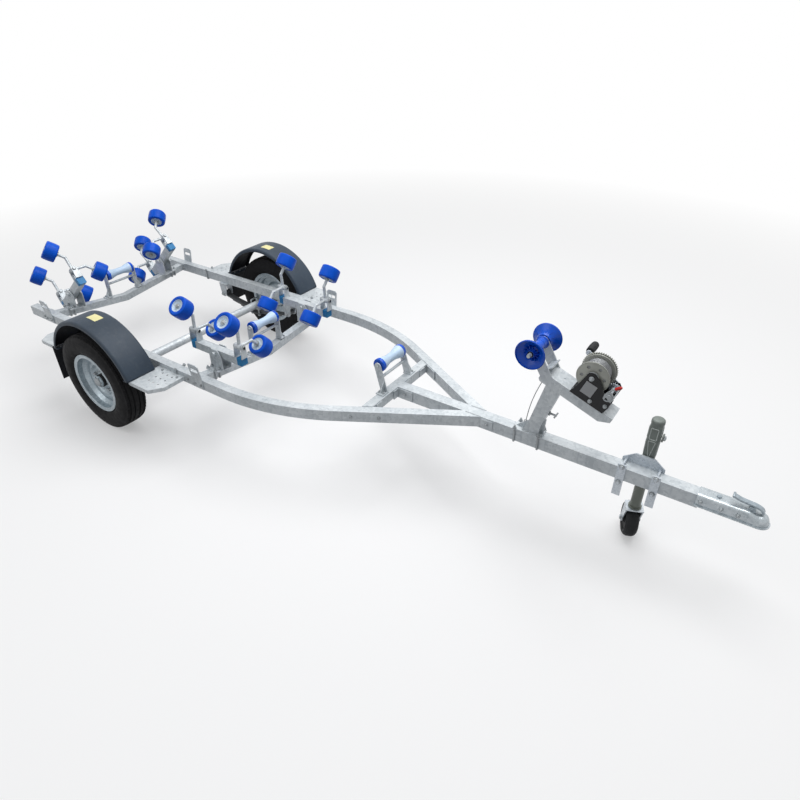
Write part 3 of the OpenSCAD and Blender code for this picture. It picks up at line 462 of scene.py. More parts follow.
def rod(start, end, radius, sides=16, finish=0):
    # a straight rod with softened ends
    soften = 0.15
    start, end = np.asarray(start, float), np.asarray(end, float)
    length = np.linalg.norm(end - start)
    edge = radius * soften
    profile = [(0, 0), (radius - edge, 0), (radius, edge), (radius, length - edge), (radius - edge, length),
               (0, length)]
    return lathe(profile, start, end - start, sides, False, finish)


def prism(outline, origin, first, second, depth, finish=0):
    # an outline in the plane of first and second, carried by the depth vector
    outline = np.asarray(outline, float)
    base = np.asarray(origin) + outline[:, :1] * np.asarray(first) + outline[:, 1:] * np.asarray(second)
    points = np.concatenate([base, base + np.asarray(depth)])
    n = len(outline)
    faces = [[k, (k + 1) % n, (k + 1) % n + n, k + n] for k in range(n)]
    return shape(points, faces + [list(range(n))[::-1], list(range(n, 2 * n))], finish)


def block(low, high, finish=0, first=along, second=across, third=up, origin=(0, 0, 0)):
    # a box between two corners, told along three directions from an origin
    size = np.asarray(high, float) - np.asarray(low, float)
    corner = np.asarray(origin) + low[0] * first + low[1] * second + low[2] * third
    outline = [(0, 0), (size[0], 0), (size[0], size[1]), (0, size[1])]
    return prism(outline, corner, first, second, size[2] * third, finish)


def washer(place, axis, inner, outer, thick, steps=32, finish=0):
    # a flat ring, or a full disc where the inner radius is 0
    profile = [(inner, 0), (outer, 0), (outer, thick), (inner, thick)]
    return lathe(profile, place, axis, steps, inner > 0, finish)


def hexNut(place, axis, flats=0.013, height=0.007, finish=0):
    # a six-sided lathe with its corners taken off
    r = flats / math.sqrt(3)
    profile = [(0, 0), (r, 0), (r, height * 0.82), (r * 0.88, height), (0, height)]
    return lathe(profile, place, axis, 6, False, finish)


def boltHead(place, axis, size=0.010, tail=0.4):
    # washer, nut and the rounded end of the bolt
    axis = np.asarray(axis, float)
    end = size * tail
    disc = [(0, 0), (size * 1.1, 0), (size * 1.1, size * 0.12), (size * 1.05, size * 0.2), (0, size * 0.2)]
    thread = [(0, size * 0.9), (size * 0.5, size * 0.9), (size * 0.5, size + end * 0.7),
              (size * 0.35, size + end), (0, size + end)]
    return [lathe(disc, place, axis, 24, False),
            hexNut(place + axis * size * 0.2, axis, size * 1.7, size * 0.8),
            lathe(thread, place, axis, 16, False)]


def uBolt(middle, side, down, width, drop, radius=0.0045, rise=0.014):
    # two legs and a base with rounded corners; nuts and leg ends stand on the plate at the middle's height
    bend, washerThick = 0.010, 0.0016
    half = width / 2
    t = np.linspace(0, np.pi / 2, 6)
    legA = [middle - side * half - down * rise]
    cornerA = (middle - side * (half - bend) + down * (drop - bend) - np.cos(t)[:, None] * side * bend
               + np.sin(t)[:, None] * down * bend)
    cornerB = (middle + side * (half - bend) + down * (drop - bend) + np.sin(t)[:, None] * side * bend
               + np.cos(t)[:, None] * down * bend)
    legB = [middle + side * half - down * rise]
    path = np.concatenate([legA, cornerA, cornerB, legB])
    parts = [tube(path, radius, np.cross(side, down), 10)]
    for s in (-1, 1):
        foot = middle + side * half * s
        parts.append(washer(foot, -down, 0, radius * 2.2, washerThick, 20))
        parts.append(hexNut(foot - down * washerThick, -down, radius * 3.4, radius * 1.6))
    return parts


def weldBead(path, radius=0.003):
    # a bead along a line: its radius is r * (1 + 0.22 * |sin(pi * s / pitch)|) at the length s
    pitch, swelling = 0.0065, 0.22
    path = np.asarray(path, float)
    length = np.concatenate([[0], np.cumsum(np.linalg.norm(np.diff(path, axis=0), axis=1))])
    count = max(8, int(length[-1] / 0.003))
    s = np.linspace(0, length[-1], count)
    fine = np.stack([np.interp(s, length, path[:, k]) for k in range(3)], 1)
    step = np.gradient(fine, axis=0)
    step /= np.linalg.norm(step, axis=1)[:, None]
    guide = up if abs(step[0, 2]) < 0.9 else along
    side = np.cross(guide, step)
    side /= np.linalg.norm(side, axis=1)[:, None]
    over = np.cross(step, side)
    swell = radius * (1 + swelling * np.abs(np.sin(s * np.pi / pitch)))
    swell[0] = swell[-1] = radius * 0.3
    ring = circle(1.0, 8)
    points = (fine[:, None, :] + swell[:, None, None] * (ring[None, :, 0, None] * side[:, None, :]
              + ring[None, :, 1, None] * over[:, None, :]))
    faces = gridFaces(count, 8, False, True)
    return shape(points.reshape(-1, 3), faces + endFaces(8, count))


def joined(parts):
    # one shape from several, with the point numbers of each moved up behind those of the last
    flat = []
    for part in parts:
        flat += part if isinstance(part, list) else [part]
    points, faces, marks, start = [], [], [], 0
    for p, f, m in flat:
        points.append(p)
        faces += [[k + start for k in face] for face in f]
        marks += m
        start += len(p)
    return np.concatenate(points), faces, marks


def mirrored(parts):
    # the same parts and their copies across the middle plane
    p, f, m = joined(parts)
    return joined([(p, f, m), (p * np.array([1, -1, 1]), [face[::-1] for face in f], m)])


def makePiece(name, parts, body, finishNames, smooth=35, bevel=None, replaced=()):
    points, faces, marks = joined(parts) if isinstance(parts, list) else parts
    mesh = bpy.data.meshes.new(name)
    mesh.from_pydata(points.tolist(), [], faces)
    for key in finishNames:
        mesh.materials.append(finishes[key])
    mesh.polygons.foreach_set("material_index", marks)
    work = bmesh.new()
    work.from_mesh(mesh)
    bmesh.ops.remove_doubles(work, verts=work.verts, dist=1e-6)
    bmesh.ops.recalc_face_normals(work, faces=work.faces)
    work.to_mesh(mesh)
    work.free()
    mesh.shade_smooth()
    mesh.set_sharp_from_angle(angle=math.radians(smooth))
    piece = bpy.data.objects.new(name, mesh)
    bpy.context.scene.collection.objects.link(piece)
    if bevel:
        soften = piece.modifiers.new("edges", "BEVEL")
        soften.width = bevel
        soften.segments = 2
        soften.limit_method = "ANGLE"
        soften.angle_limit = math.radians(40)
        soften.harden_normals = False
    if replaced:
        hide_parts(*replaced)
    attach(piece, body)
    return piece


def dressFrame():
    dress = {"coupling": "zinc", "jack_bracket": "zinc", "jack_leg": "legPaint", "jockey_fork": "zinc",
             "leaf_springs": "spring", "winch_frame": "blackPaint", "winch_cable": "wire",
             "jack_housing": "jackPaint", "winch_drum": "drum", "jockey_wheel": "jockeyRubber"}
    for name, thing in frame["nodes"].items():
        key = dress.get(name, "galvanised")
        thing.data.materials.clear()
        thing.data.materials.append(finishes[key])
        thing.data.polygons.foreach_set("material_index", [0] * len(thing.data.polygons))


dressFrame()
print("frame dressed")

tyreSize = {"around": 480, "grooves": (0.0165, 0.044), "grooveHalf": 0.0035, "grooveDepth": 0.0070,
            "blocks": 72, "sipeDepth": 0.0035}


def smoothLine(points, count):
    # a curve through the points, by cubic pieces with slopes from their neighbours
    points = np.asarray(points, float)
    n = len(points)
    slope = np.gradient(points, axis=0)
    t = np.linspace(0, n - 1, count)
    k = np.minimum(t.astype(int), n - 2)
    f = (t - k)[:, None]
    a, b, ma, mb = points[k], points[k + 1], slope[k], slope[k + 1]
    return ((2 * f**3 - 3 * f**2 + 1) * a + (f**3 - 2 * f**2 + f) * ma
            + (-2 * f**3 + 3 * f**2) * b + (f**3 - f**2) * mb)


def tyreShape(centre, rimRadius, outerRadius, halfWidth):
    # the section is a smooth closed line; grooves and cross cuts push the tread in by a function of
    # the angle round the wheel and the distance across it
    k = halfWidth / 0.075
    grow = (outerRadius - rimRadius + 0.0185) / 0.133
    base = rimRadius - 0.0185
    half = [(0.0006, 0.056), (0.010, 0.0563), (0.019, 0.0575), (0.024, 0.0615), (0.036, 0.069),
            (0.048, 0.0728), (0.060, 0.0745), (0.072, 0.0748), (0.084, 0.0738), (0.096, 0.0712),
            (0.106, 0.068), (0.115, 0.0635)]
    side = smoothLine([(base + q * grow, w * k) for q, w in half], 36)
    treadEdge = 0.0610 * k
    w = np.linspace(treadEdge, -treadEdge, 93)
    r = outerRadius - 0.0055 * (np.abs(w) / treadEdge) ** 4 - 0.0010
    tread = np.stack([r, w], 1)
    sidePoints, treadPoints = len(side), len(w)
    inner = np.stack([np.full(5, base + 0.0006), np.linspace(-0.045 * k, 0.045 * k, 5)], 1)
    section = np.concatenate([side, tread, side[::-1] * [1, -1], inner])
    n = tyreSize["around"]
    t = np.linspace(0, 2 * np.pi, n, endpoint=False)
    radius = np.repeat(section[None, :, 0], n, 0)
    offset = np.repeat(section[None, :, 1], n, 0)
    onTread = np.zeros(len(section))
    onTread[sidePoints:sidePoints + treadPoints] = 1
    y = np.abs(section[:, 1])
    cut = np.zeros_like(y)
    for g in tyreSize["grooves"]:
        cut = np.maximum(cut, np.clip((tyreSize["grooveHalf"] + 0.0012 - np.abs(y - g)) / 0.0012, 0, 1))
    cut *= onTread * tyreSize["grooveDepth"]
    wave = (t[:, None] * tyreSize["blocks"] / (2 * np.pi) + section[None, :, 1] * 14) % 1.0
    shoulder = ((y > tyreSize["grooves"][1] + 0.006) & (onTread > 0))[None, :]
    centreRib = ((y < tyreSize["grooves"][1] - 0.006) & (onTread > 0)
                 & (np.abs(y - tyreSize["grooves"][0]) > 0.006))[None, :]
    slit = np.clip((0.09 - np.abs(wave - 0.5)) / 0.04, 0, 1)
    fine = np.clip((0.05 - np.abs((wave * 2) % 1.0 - 0.5)) / 0.03, 0, 1)
    radius = radius - cut[None, :] - tyreSize["sipeDepth"] * (slit * shoulder + 0.6 * fine * centreRib)
    # low ribs round the side wall
    wallPlace = (section[:, 0] - base) / grow
    band = np.exp(-((wallPlace - 0.050) / 0.0016) ** 2) + np.exp(-((wallPlace - 0.094) / 0.0014) ** 2)
    teeth = 0.0006 * np.clip(np.sin(t * 180), 0, 1)[:, None] * (np.abs(wallPlace - 0.103) < 0.0065)[None, :]
    offset = offset + (0.0009 * band[None, :] + teeth) * np.sign(section[None, :, 1]) * (1 - onTread)[None, :]
    ring = np.cos(t)[:, None] * up + np.sin(t)[:, None] * along
    points = centre + offset[..., None] * across + radius[..., None] * ring[:, None, :]
    return shape(points.reshape(-1, 3), gridFaces(n, len(section), True, True))


rimSize = {"nuts": 5, "nutCircle": 0.067, "edge": 0.1835, "valveCircle": 0.131}


def rimShape(centre, out):
    # profile as (radius, distance outwards) of the rolled barrel, the dished disc and the hub
    b, e = rimSize["edge"] - 0.0185, rimSize["edge"]
    profile = [(e - 0.002, -0.063), (e, -0.0615), (e, -0.0585), (e - 0.0015, -0.0575), (b + 0.001, -0.0565),
               (b, -0.0555), (b, -0.041), (b - 0.002, -0.0385), (b - 0.017, -0.0305), (b - 0.018, -0.029),
               (b - 0.018, 0.005), (b - 0.017, 0.0075), (b - 0.001, 0.0245), (b, 0.027), (b, 0.0550),
               (b + 0.001, 0.0562), (e - 0.0015, 0.0575), (e, 0.0585), (e, 0.0615), (e - 0.0018, 0.063),
               (e - 0.0035, 0.0622), (b - 0.0035, 0.0608), (b - 0.005, 0.0590), (b - 0.005, 0.0300),
               (b - 0.006, 0.0272), (b - 0.0225, 0.0108), (b - 0.0240, 0.0080), (b - 0.028, 0.0092),
               (0.118, 0.0150), (0.104, 0.0165), (0.097, 0.0145), (0.090, 0.0060), (0.084, -0.0005),
               (0.080, -0.002), (0.052, -0.002), (0.050, -0.001), (0.050, 0.0045), (0.0485, 0.006),
               (0.0345, 0.006), (0.0340, 0.0065), (0.034, 0.031), (0.033, 0.0335), (0.026, 0.0390),
               (0.023, 0.040), (0.001, 0.040), (0.001, 0.034), (0.0174, 0.034), (0.0174, -0.084),
               (0.043, -0.084), (0.044, -0.083), (0.044, -0.012), (0.082, -0.012), (0.085, -0.009),
               (0.093, 0.002), (0.100, 0.0075), (0.118, 0.006), (b - 0.024, -0.002), (b - 0.024, -0.033),
               (b - 0.0225, -0.0355), (b - 0.006, -0.0425), (b - 0.005, -0.0440), (b - 0.005, -0.0590),
               (b - 0.0035, -0.0605)]
    return lathe(profile, centre, across * out, 128)


def makeWheel(side, out):
    body = "wheel_" + side
    low, high = boxOf("tyre_" + side)
    centre = (low + high) / 2
    tyre = tyreShape(centre, rimSize["edge"], (high[2] - low[2]) / 2, (high[1] - low[1]) / 2)
    makePiece("tyreTread_" + side, tyre, body, ["tyre"], 30, None, ["tyre_" + side])
    makePiece("wheelRim_" + side, [rimShape(centre, out)], body, ["rim"], 28, None,
              ["rim_" + side])
    axis = across * out
    parts = []
    turns = 2 * np.pi * np.arange(rimSize["nuts"]) / rimSize["nuts"] + 0.3
    for t in turns:
        spoke = np.array([math.cos(t), 0, math.sin(t)])
        foot = centre + spoke * rimSize["nutCircle"] - axis * 0.002
        parts.append(lathe([(0, 0), (0.0125, 0), (0.0100, 0.005), (0, 0.005)], foot, axis, 24, False))
        parts.append(lathe([(0, 0.004), (0.0098, 0.004), (0.0098, 0.016), (0.0085, 0.0185), (0.0045, 0.0205),
                            (0, 0.021)], foot, axis, 6, False))
    # dark ring of grease cap rubber, then the bright cap with a domed end
    cap = centre + axis * 0.034
    seal = [(0.0335, -0.026), (0.0385, -0.024), (0.0385, -0.010), (0.0350, -0.007), (0.0335, -0.008)]
    parts.append(lathe(seal, cap, axis, 48, True, 1))
    parts.append(lathe([(0, 0.006), (0.024, 0.006), (0.0265, 0.0075), (0.0265, 0.010), (0.020, 0.0165),
                        (0.010, 0.0195), (0, 0.020)], cap, axis, 48, False))
    for t in np.linspace(0, 2 * np.pi, 6, endpoint=False):
        spoke = np.array([math.cos(t), 0, math.sin(t)])
        foot = cap + spoke * 0.0285
        parts.append(rod(foot - axis * 0.004, foot + axis * 0.0085, 0.0042, 12))
    makePiece("wheelNuts_" + side, parts, body, ["bolt", "grip"], 35)
    valve = centre + rimSize["valveCircle"] * (along + up) / math.sqrt(2)
    makePiece("wheelValve_" + side, [rod(valve + axis * 0.012, valve + axis * 0.044, 0.0042, 16),
                                     rod(valve + axis * 0.040, valve + axis * 0.054, 0.0052, 16)],
              body, ["grip"], 35)


makeWheel("left", 1)
makeWheel("right", -1)
print("wheels made")

guardSize = {"radius": 0.386, "wall": 0.004, "lip": 0.024, "corner": 0.014, "steps": 96, "flapDrop": 0.224,
             "foot": 0.046, "width": 0.184, "flapRows": 14, "flapColumns": 9}


def guardShape(side):
    # an arch: the U-shaped section at radius r goes round the wheel from one step plate to the other
    high = boxOf("mudguards")[1]
    yOuter = high[1]
    yInner = yOuter - guardSize["width"]
    r = guardSize["radius"]
    stepTop = boxOf("step_plates")[1][2]
    start = math.asin((stepTop + 0.008 - hubZ) / r)
    corner, lip, wall = guardSize["corner"], guardSize["lip"], guardSize["wall"]
    t = np.linspace(0, np.pi / 2, 7)
    outer = np.concatenate([
        [(r - lip, yInner)],
        np.stack([r - corner + corner * np.sin(t), yInner + corner - corner * np.cos(t)], 1),
        np.stack([r - corner + corner * np.cos(t), yOuter - corner + corner * np.sin(t)], 1),
        [(r - lip, yOuter)]])
    inside = corner - wall
    innerSide = np.concatenate([
        [(r - lip, yOuter - wall)],
        np.stack([r - corner + inside * np.sin(t), yOuter - corner + inside * np.cos(t)], 1),
        np.stack([r - corner + inside * np.cos(t), yInner + corner - inside * np.sin(t)], 1),
        [(r - lip, yInner + wall)]])
    # inner line runs back from the outer edge to the inner edge, so the section is one closed loop
    section = np.concatenate([outer, innerSide])
    steps = guardSize["steps"]
    angle = np.linspace(start, np.pi - start, steps)
    points = np.stack([
        axleX + section[None, :, 0] * np.cos(angle)[:, None],
        side * np.repeat(section[None, :, 1], steps, 0),
        hubZ + section[None, :, 0] * np.sin(angle)[:, None]], -1)
    faces = gridFaces(steps, len(section), False, True)
    # the inside faces take the dark plastic finish, painted shade under the arch
    marks = [1 if (k % len(section)) >= len(outer) else 0 for k in range(len(faces))]
    faces += endFaces(len(section), steps)
    marks += [0, 0]
    parts = [(points.reshape(-1, 3), faces, marks)]
    edge = r * math.cos(start)
    foot = guardSize["foot"]
    for way in (-1, 1):
        # foot flange: rounded strip turned in under the guard, on the step plate
        x0, x1 = way * (edge - 0.001), way * (edge - 0.001 - foot)
        a, b = min(x0, x1), max(x0, x1)
        y0, y1 = sorted((side * yInner, side * yOuter))
        outline = [(a, y0 + 0.008), (a, y1 - 0.008), (a + 0.008, y1), (b - 0.008, y1), (b, y1 - 0.008),
                   (b, y0 + 0.008), (b - 0.008, y0), (a + 0.008, y0)]
        parts.append(prism(outline, at(0, 0, stepTop + 0.0004), along, across, up * 0.0036))
        for y in (0.035, 0.092, 0.149):
            place = at(way * (edge - 0.026), side * (yInner + y), stepTop + 0.004)
            rivet = [(0, 0), (0.009, 0), (0.0085, 0.002), (0.005, 0.0045), (0, 0.005)]
            parts.append(lathe(rivet, place, up, 24, False, 2))
    # rear flap: a plate that bows a little
    yF0, yF1 = yInner + 0.012, yOuter - 0.002
    rows, columns = guardSize["flapRows"], guardSize["flapColumns"]
    h = np.linspace(0, 1, rows)
    z = stepTop + 0.003 - guardSize["flapDrop"] * h
    x = -edge - 0.012
    ys = np.linspace(yF0, yF1, columns)
    bow = 0.0015 * np.sin(np.pi * (ys - yF0) / (yF1 - yF0))[None, :] * h[:, None]
    front = np.stack([axleX + x + bow, side * np.repeat(ys[None, :], rows, 0),
                      np.repeat(z[:, None], columns, 1)], -1).reshape(-1, 3)
    back = front - along * wall
    n = rows * columns
    f = gridFaces(rows, columns, False, False)
    g = [[k + n for k in face[::-1]] for face in f]
    grid = np.arange(n).reshape(rows, columns)
    border = np.concatenate([grid[0], grid[1:, -1], grid[-1, -2::-1], grid[-2:0:-1, 0]]).tolist()
    walls = [[border[k], border[k - 1], border[k - 1] + n, border[k] + n] for k in range(len(border))]
    parts.append(shape(np.concatenate([front, back]), f + g + walls, 1))
    # blank label near the crown, following the arc
    a = np.linspace(math.radians(90 - 8.5), math.radians(90 + 3.5), 10)
    rl = r + 0.0006
    patch = [(rl * math.cos(q), rl * math.sin(q)) for q in a]
    patch += [((r - 0.001) * math.cos(q), (r - 0.001) * math.sin(q)) for q in a[::-1]]
    y0, y1 = sorted((side * (yInner + 0.048), side * (yInner + 0.103)))
    parts.append(prism(patch, at(0, y0, hubZ), along, up, across * (y1 - y0), 3))
    return parts


makePiece("mudguardArches", guardShape(1) + guardShape(-1), "trailer",
          ["guard", "darkPlasticAndArchShade", "bolt", "paleLabel"], 40, None, ["mudguards"])
print("mudguards made")

rollerSize = {"radius": 0.060, "half": 0.038, "core": 0.0365, "rod": 0.0094, "steps": 64,
              "shoulder": 0.0085, "crown": 0.0012, "spokes": 6}


def rollerShape(centre, axis):
    # tyre of the roller with round shoulders and a slight crown; pale hub discs stand inside each face
    r, h, core, bore = (rollerSize[k] for k in ("radius", "half", "core", "rod"))
    t = np.linspace(0, np.pi / 2, 7)
    edge, rise = rollerSize["shoulder"], rollerSize["crown"]
    right = np.stack([r - rise - edge + edge * np.sin(t), h - edge + edge * np.cos(t)], 1)
    crown = np.stack([r - rise * np.linspace(1, -1, 7) ** 2, np.linspace(h - edge, edge - h, 7)], 1)[1:-1]
    rubber = np.concatenate([[(core, h - 0.003), (core + 0.002, h - 0.001), (core + 0.004, h)], right, crown,
                             right[::-1] * [1, -1], [(core + 0.004, -h), (core + 0.002, 0.001 - h),
                                                     (core, 0.003 - h)]])
    parts = [lathe(rubber, centre, axis, rollerSize["steps"])]
    hub = [(bore, h - 0.012), (0.0175, h - 0.012), (0.0185, h - 0.0105), (0.0200, h - 0.0105),
           (0.0215, h - 0.0115), (core - 0.0045, h - 0.0075), (core - 0.0025, h - 0.0025),
           (core - 0.0003, h - 0.0025), (core - 0.0003, 0.0025 - h), (core - 0.0025, 0.0025 - h),
           (core - 0.0045, 0.0055 - h),
           (0.0215, 0.0065 - h), (0.0200, 0.0055 - h), (bore, 0.0050 - h)]
    parts.append(lathe(hub, centre, axis, rollerSize["steps"], True, 1))
    u, v = frameOf(axis)[1:]
    for k in range(rollerSize["spokes"]):
        spoke = math.cos(k * math.pi / 3) * u + math.sin(k * math.pi / 3) * v
        for s, face in ((1, h - 0.0098), (-1, h - 0.0058)):
            start = centre + axis * s * face + spoke * 0.0205
            parts.append(rod(start, start + spoke * 0.0105, 0.0015, 8, 1))
    return parts


def makeRollers():
    for body in jointsOf("roller_", "_spin"):
        centre, axis = jointPlace(body + "_spin")
        # the recessed face looks away from the arm's middle
        arm = body.rsplit("_", 1)[0].replace("roller_", "arm_")
        if np.dot(centre - jointPlace(arm + "_rock")[0], axis) < 0:
            axis = -axis
        makePiece(body.replace("roller", "rollerTread"), rollerShape(centre, axis), body,
                  ["blueRubber", "hubPlastic"], 35, None, [body])


def makeArmFittings():
    # a plain nut and collar at the ends of each roller's rod, and a washer at both ends of the arm's boss
    collar = [(0.0095, -0.003), (0.0165, -0.003), (0.0170, -0.002), (0.0170, 0.0005), (0.0160, 0.0015),
              (0.0095, 0.0015)]
    thick = 0.0025
    for arm in jointsOf("arm_", "_rock"):
        pivot, boss = jointPlace(arm + "_rock")
        parts = []
        for which in ("_out", "_in"):
            centre, axis = jointPlace(arm.replace("arm_", "roller_") + which + "_spin")
            if np.dot(centre - pivot, axis) < 0:
                axis = -axis
            face = centre + axis * (rollerSize["half"] - 0.0085)
            parts.append(hexNut(face, axis, 0.0225, 0.0080))
            parts.append(rod(face, face + axis * 0.0110, 0.0060))
            parts.append(lathe(collar, centre - axis * (rollerSize["half"] + 0.0035), axis, 32))
        for s in (-1, 1):
            parts.append(washer(pivot + boss * (s * 0.0225 - thick / 2), boss, 0.0085, 0.0150, thick))
        makePiece(arm.replace("arm_", "armFittings_"), parts, arm, ["bolt"], 35)


makeRollers()
makeArmFittings()
print("cradle rollers made")

beamSize = {"half": 0.023, "cap": 0.030, "lip": 0.0022, "length": 0.400, "corner": 0.006}


def makeBeamCaps():
    # a square cup with rounded corners over each end of a beam, and nuts on the pins of its ears
    reach, corner = beamSize["half"] + beamSize["lip"] - beamSize["corner"], beamSize["corner"]
    outline = []
    for cx, cy in ((1, 1), (-1, 1), (-1, -1), (1, -1)):
        t = np.linspace(0, np.pi / 2, 5) + math.atan2(cy, cx) - np.pi / 4
        outline += [(cx * reach + corner * math.cos(q), cy * reach + corner * math.sin(q)) for q in t]
    for beam in jointsOf("beam_", "_rock"):
        pivot = jointPlace(beam + "_rock")[0]
        ends = [jointPlace(beam.replace("beam_", "arm_") + end + "_rock") for end in ("_front", "_back")]
        way = ends[0][1]
        over = np.cross(way, across)
        parts = []
        for s in (-1, 1):
            tip = pivot + way * s * beamSize["length"] / 2
            low, high = sorted((s * -beamSize["cap"], s * 0.0004))
            parts.append(prism(outline, tip + way * low, across, over, way * (high - low)))
            parts += [hexNut(place + way * s * 0.0305, way * s, 0.022, 0.0075, 1) for place, _ in ends]
        makePiece(beam.replace("beam_", "beamCaps_"), parts, beam, ["capPlastic", "bolt"],
                  35, 0.001)


makeBeamCaps()
print("beam caps made")

keelSize = {"half": 0.100, "radius": 0.036, "waist": 0.024, "bore": 0.0084}


def makeKeelRollers():
    # spool with softly curved waist, coloured pale blue as a painted highlight; blue rings close its ends
    h, r, w, bore = (keelSize[k] for k in ("half", "radius", "waist", "bore"))
    for which in ("rear", "mid", "front"):
        name = "keel_roller_" + which
        centre, axis = jointPlace(name + "_spin")
        x = np.linspace(-1, 1, 41)
        f = np.clip(np.abs(x) * 1.35 - 0.35, 0, 1)
        waist = w + (r - 0.001 - w) * f ** 2 * (3 - 2 * f)
        ribs = 0.0006 * (np.cos(x * 60) > 0.3)
        body = np.stack([waist - ribs, x * (h - 0.018)], 1)
        spool = np.concatenate([[(bore, 0.018 - h)], body, [(bore, h - 0.018)]])
        parts = [lathe(spool, centre, axis, 64)]
        for s in (-1, 1):
            end = [(bore, h - 0.0185), (r, h - 0.0185), (r, h - 0.004), (r - 0.0012, h - 0.0012),
                   (r - 0.004, h), (0.020, h), (0.018, h - 0.004), (bore, h - 0.004)]
            parts.append(lathe([(a, b * s) for a, b in end], centre, axis, 64, True, 1))
        makePiece(name.replace("keel_roller", "keelSpool"), parts, name, ["highlightPaintedSpool", "blueGloss"],
                  35, None, [name])


makeKeelRollers()

bowSize = {"half": 0.100, "bell": 0.069, "neck": 0.032, "inside": 0.052, "ribs": 12, "wall": 0.0045,
           "bore": 0.0084, "ribThick": 0.0024}


def makeBowRoller():
    # each bell is a thin horn; radial ribs fill the cup, and a grooved spool sits between the ears
    centre, axis = jointPlace("bow_roller_spin")
    parts = []
    h, bell, neck, inside = (bowSize[k] for k in ("half", "bell", "neck", "inside"))
    wall, bore, ribThick = (bowSize[k] for k in ("wall", "bore", "ribThick"))
    for s in (-1, 1):
        t = np.linspace(0, 1, 22)
        outerR = neck + (bell - neck - 0.001) * t ** 1.7
        outerH = inside + (h - inside - 0.009) * t
        wallR = outerR - wall
        wallH = outerH + wall * (1 - t) + 0.001
        lip = np.linspace(-np.pi / 2, np.pi / 2, 9)
        rim = np.stack([bell - wall + wall * np.cos(lip), h - wall + wall * np.sin(lip)], 1)
        keep = wallR > 0.0190
        profile = np.concatenate([[(bore, inside)], np.stack([outerR, outerH], 1), rim,
                                  np.stack([wallR, wallH], 1)[keep][::-1],
                                  [(0.0185, inside + 0.012), (0.0180, h - 0.012), (0.0165, h - 0.010),
                                   (bore, h - 0.010)]])
        parts.append(lathe([(a, b * s) for a, b in profile], centre, axis, 96))
        u, v = frameOf(axis)[1:]
        for k in np.arange(bowSize["ribs"]):
            q = 2 * np.pi * k / bowSize["ribs"]
            spoke = math.cos(q) * u + math.sin(q) * v
            side = -math.sin(q) * u + math.cos(q) * v
            line = [(0.0170, inside + 0.010), (0.0170, h - 0.022), (0.0300, h - 0.027), (0.0480, h - 0.021),
                    (0.0585, h - 0.0105), (0.0520, h - 0.020), (0.0400, h - 0.0345), (0.0310, inside + 0.007)]
            line = [(a, b * s) for a, b in line]
            parts.append(prism(line, centre - side * ribThick / 2, spoke, axis, side * ribThick))
        nut = centre + axis * s * (h - 0.012)
        parts += [washer(nut, axis * s, 0, 0.0145, 0.002, 32, 1),
                  hexNut(nut + axis * s * 0.002, axis * s, 0.0190, 0.0070, 1)]
    spool = [(bore, -0.042), (0.0290, -0.042), (0.0300, -0.041), (0.0295, -0.0385), (0.0245, -0.034),
             (0.0240, -0.030), (0.0240, -0.012), (0.0225, -0.010)]
    parts.append(lathe(spool + [(a, -b) for a, b in spool[::-1]], centre, axis, 64))
    makePiece("bowBells", parts, "bow_roller", ["blueGloss", "bolt"], 35, None, ["bow_roller"])


makeBowRoller()
print("keel and bow rollers made")

traySlope = math.radians(21)
trayAlong = np.array([math.cos(traySlope), 0, -math.sin(traySlope)])
trayUp = np.array([math.sin(traySlope), 0, math.cos(traySlope)])
drumPlace = jointPlace("winch_drum_spin")[0]
crankPlace = jointPlace("winch_crank_spin")[0]
winchSize = {"drumAt": (0.185, 0.114), "crankAt": (0.280, 0.076), "gearTeeth": 48, "gearOuter": 0.0775,
             "pinionTeeth": 15, "pinionOuter": 0.0245, "gearFaces": (0.0345, 0.0408), "wire": 0.004,
             "arm": 0.180, "plate": 0.0582, "bore": 0.0088, "flange": 0.0700}
trayOrigin = drumPlace - trayAlong * winchSize["drumAt"][0] - trayUp * winchSize["drumAt"][1]


def onTray(x, y, z):
    # a point told along the tray, across the trailer and square to the tray
    return trayOrigin + trayAlong * x + trayUp * z + across * y


def gearRing(centre, outer, inner, bore, teeth, turn=0.0):
    # tooth outline: radius steps between root and tip with sloping flanks, carried across the face
    y0, y1 = winchSize["gearFaces"]
    q = np.arange(teeth * 4)
    radius = np.where((q % 4 == 1) | (q % 4 == 2), outer, inner)
    pitch = 2 * np.pi / teeth
    lead = np.array([0.0, 0.22, 0.50, 0.72])[q % 4]
    t = (q // 4 + lead) * pitch + turn
    outline = np.stack([radius * np.cos(t), radius * np.sin(t)], 1)
    hole = np.stack([bore * np.cos(t), bore * np.sin(t)], 1)
    n = len(q)
    loops = [(outline, y0), (outline, y1), (hole, y1), (hole, y0)]
    points = np.concatenate([centre + loop[:, :1] * trayAlong + loop[:, 1:] * trayUp + across * y
                             for loop, y in loops])
    return shape(points, gridFaces(4, n, True, True))


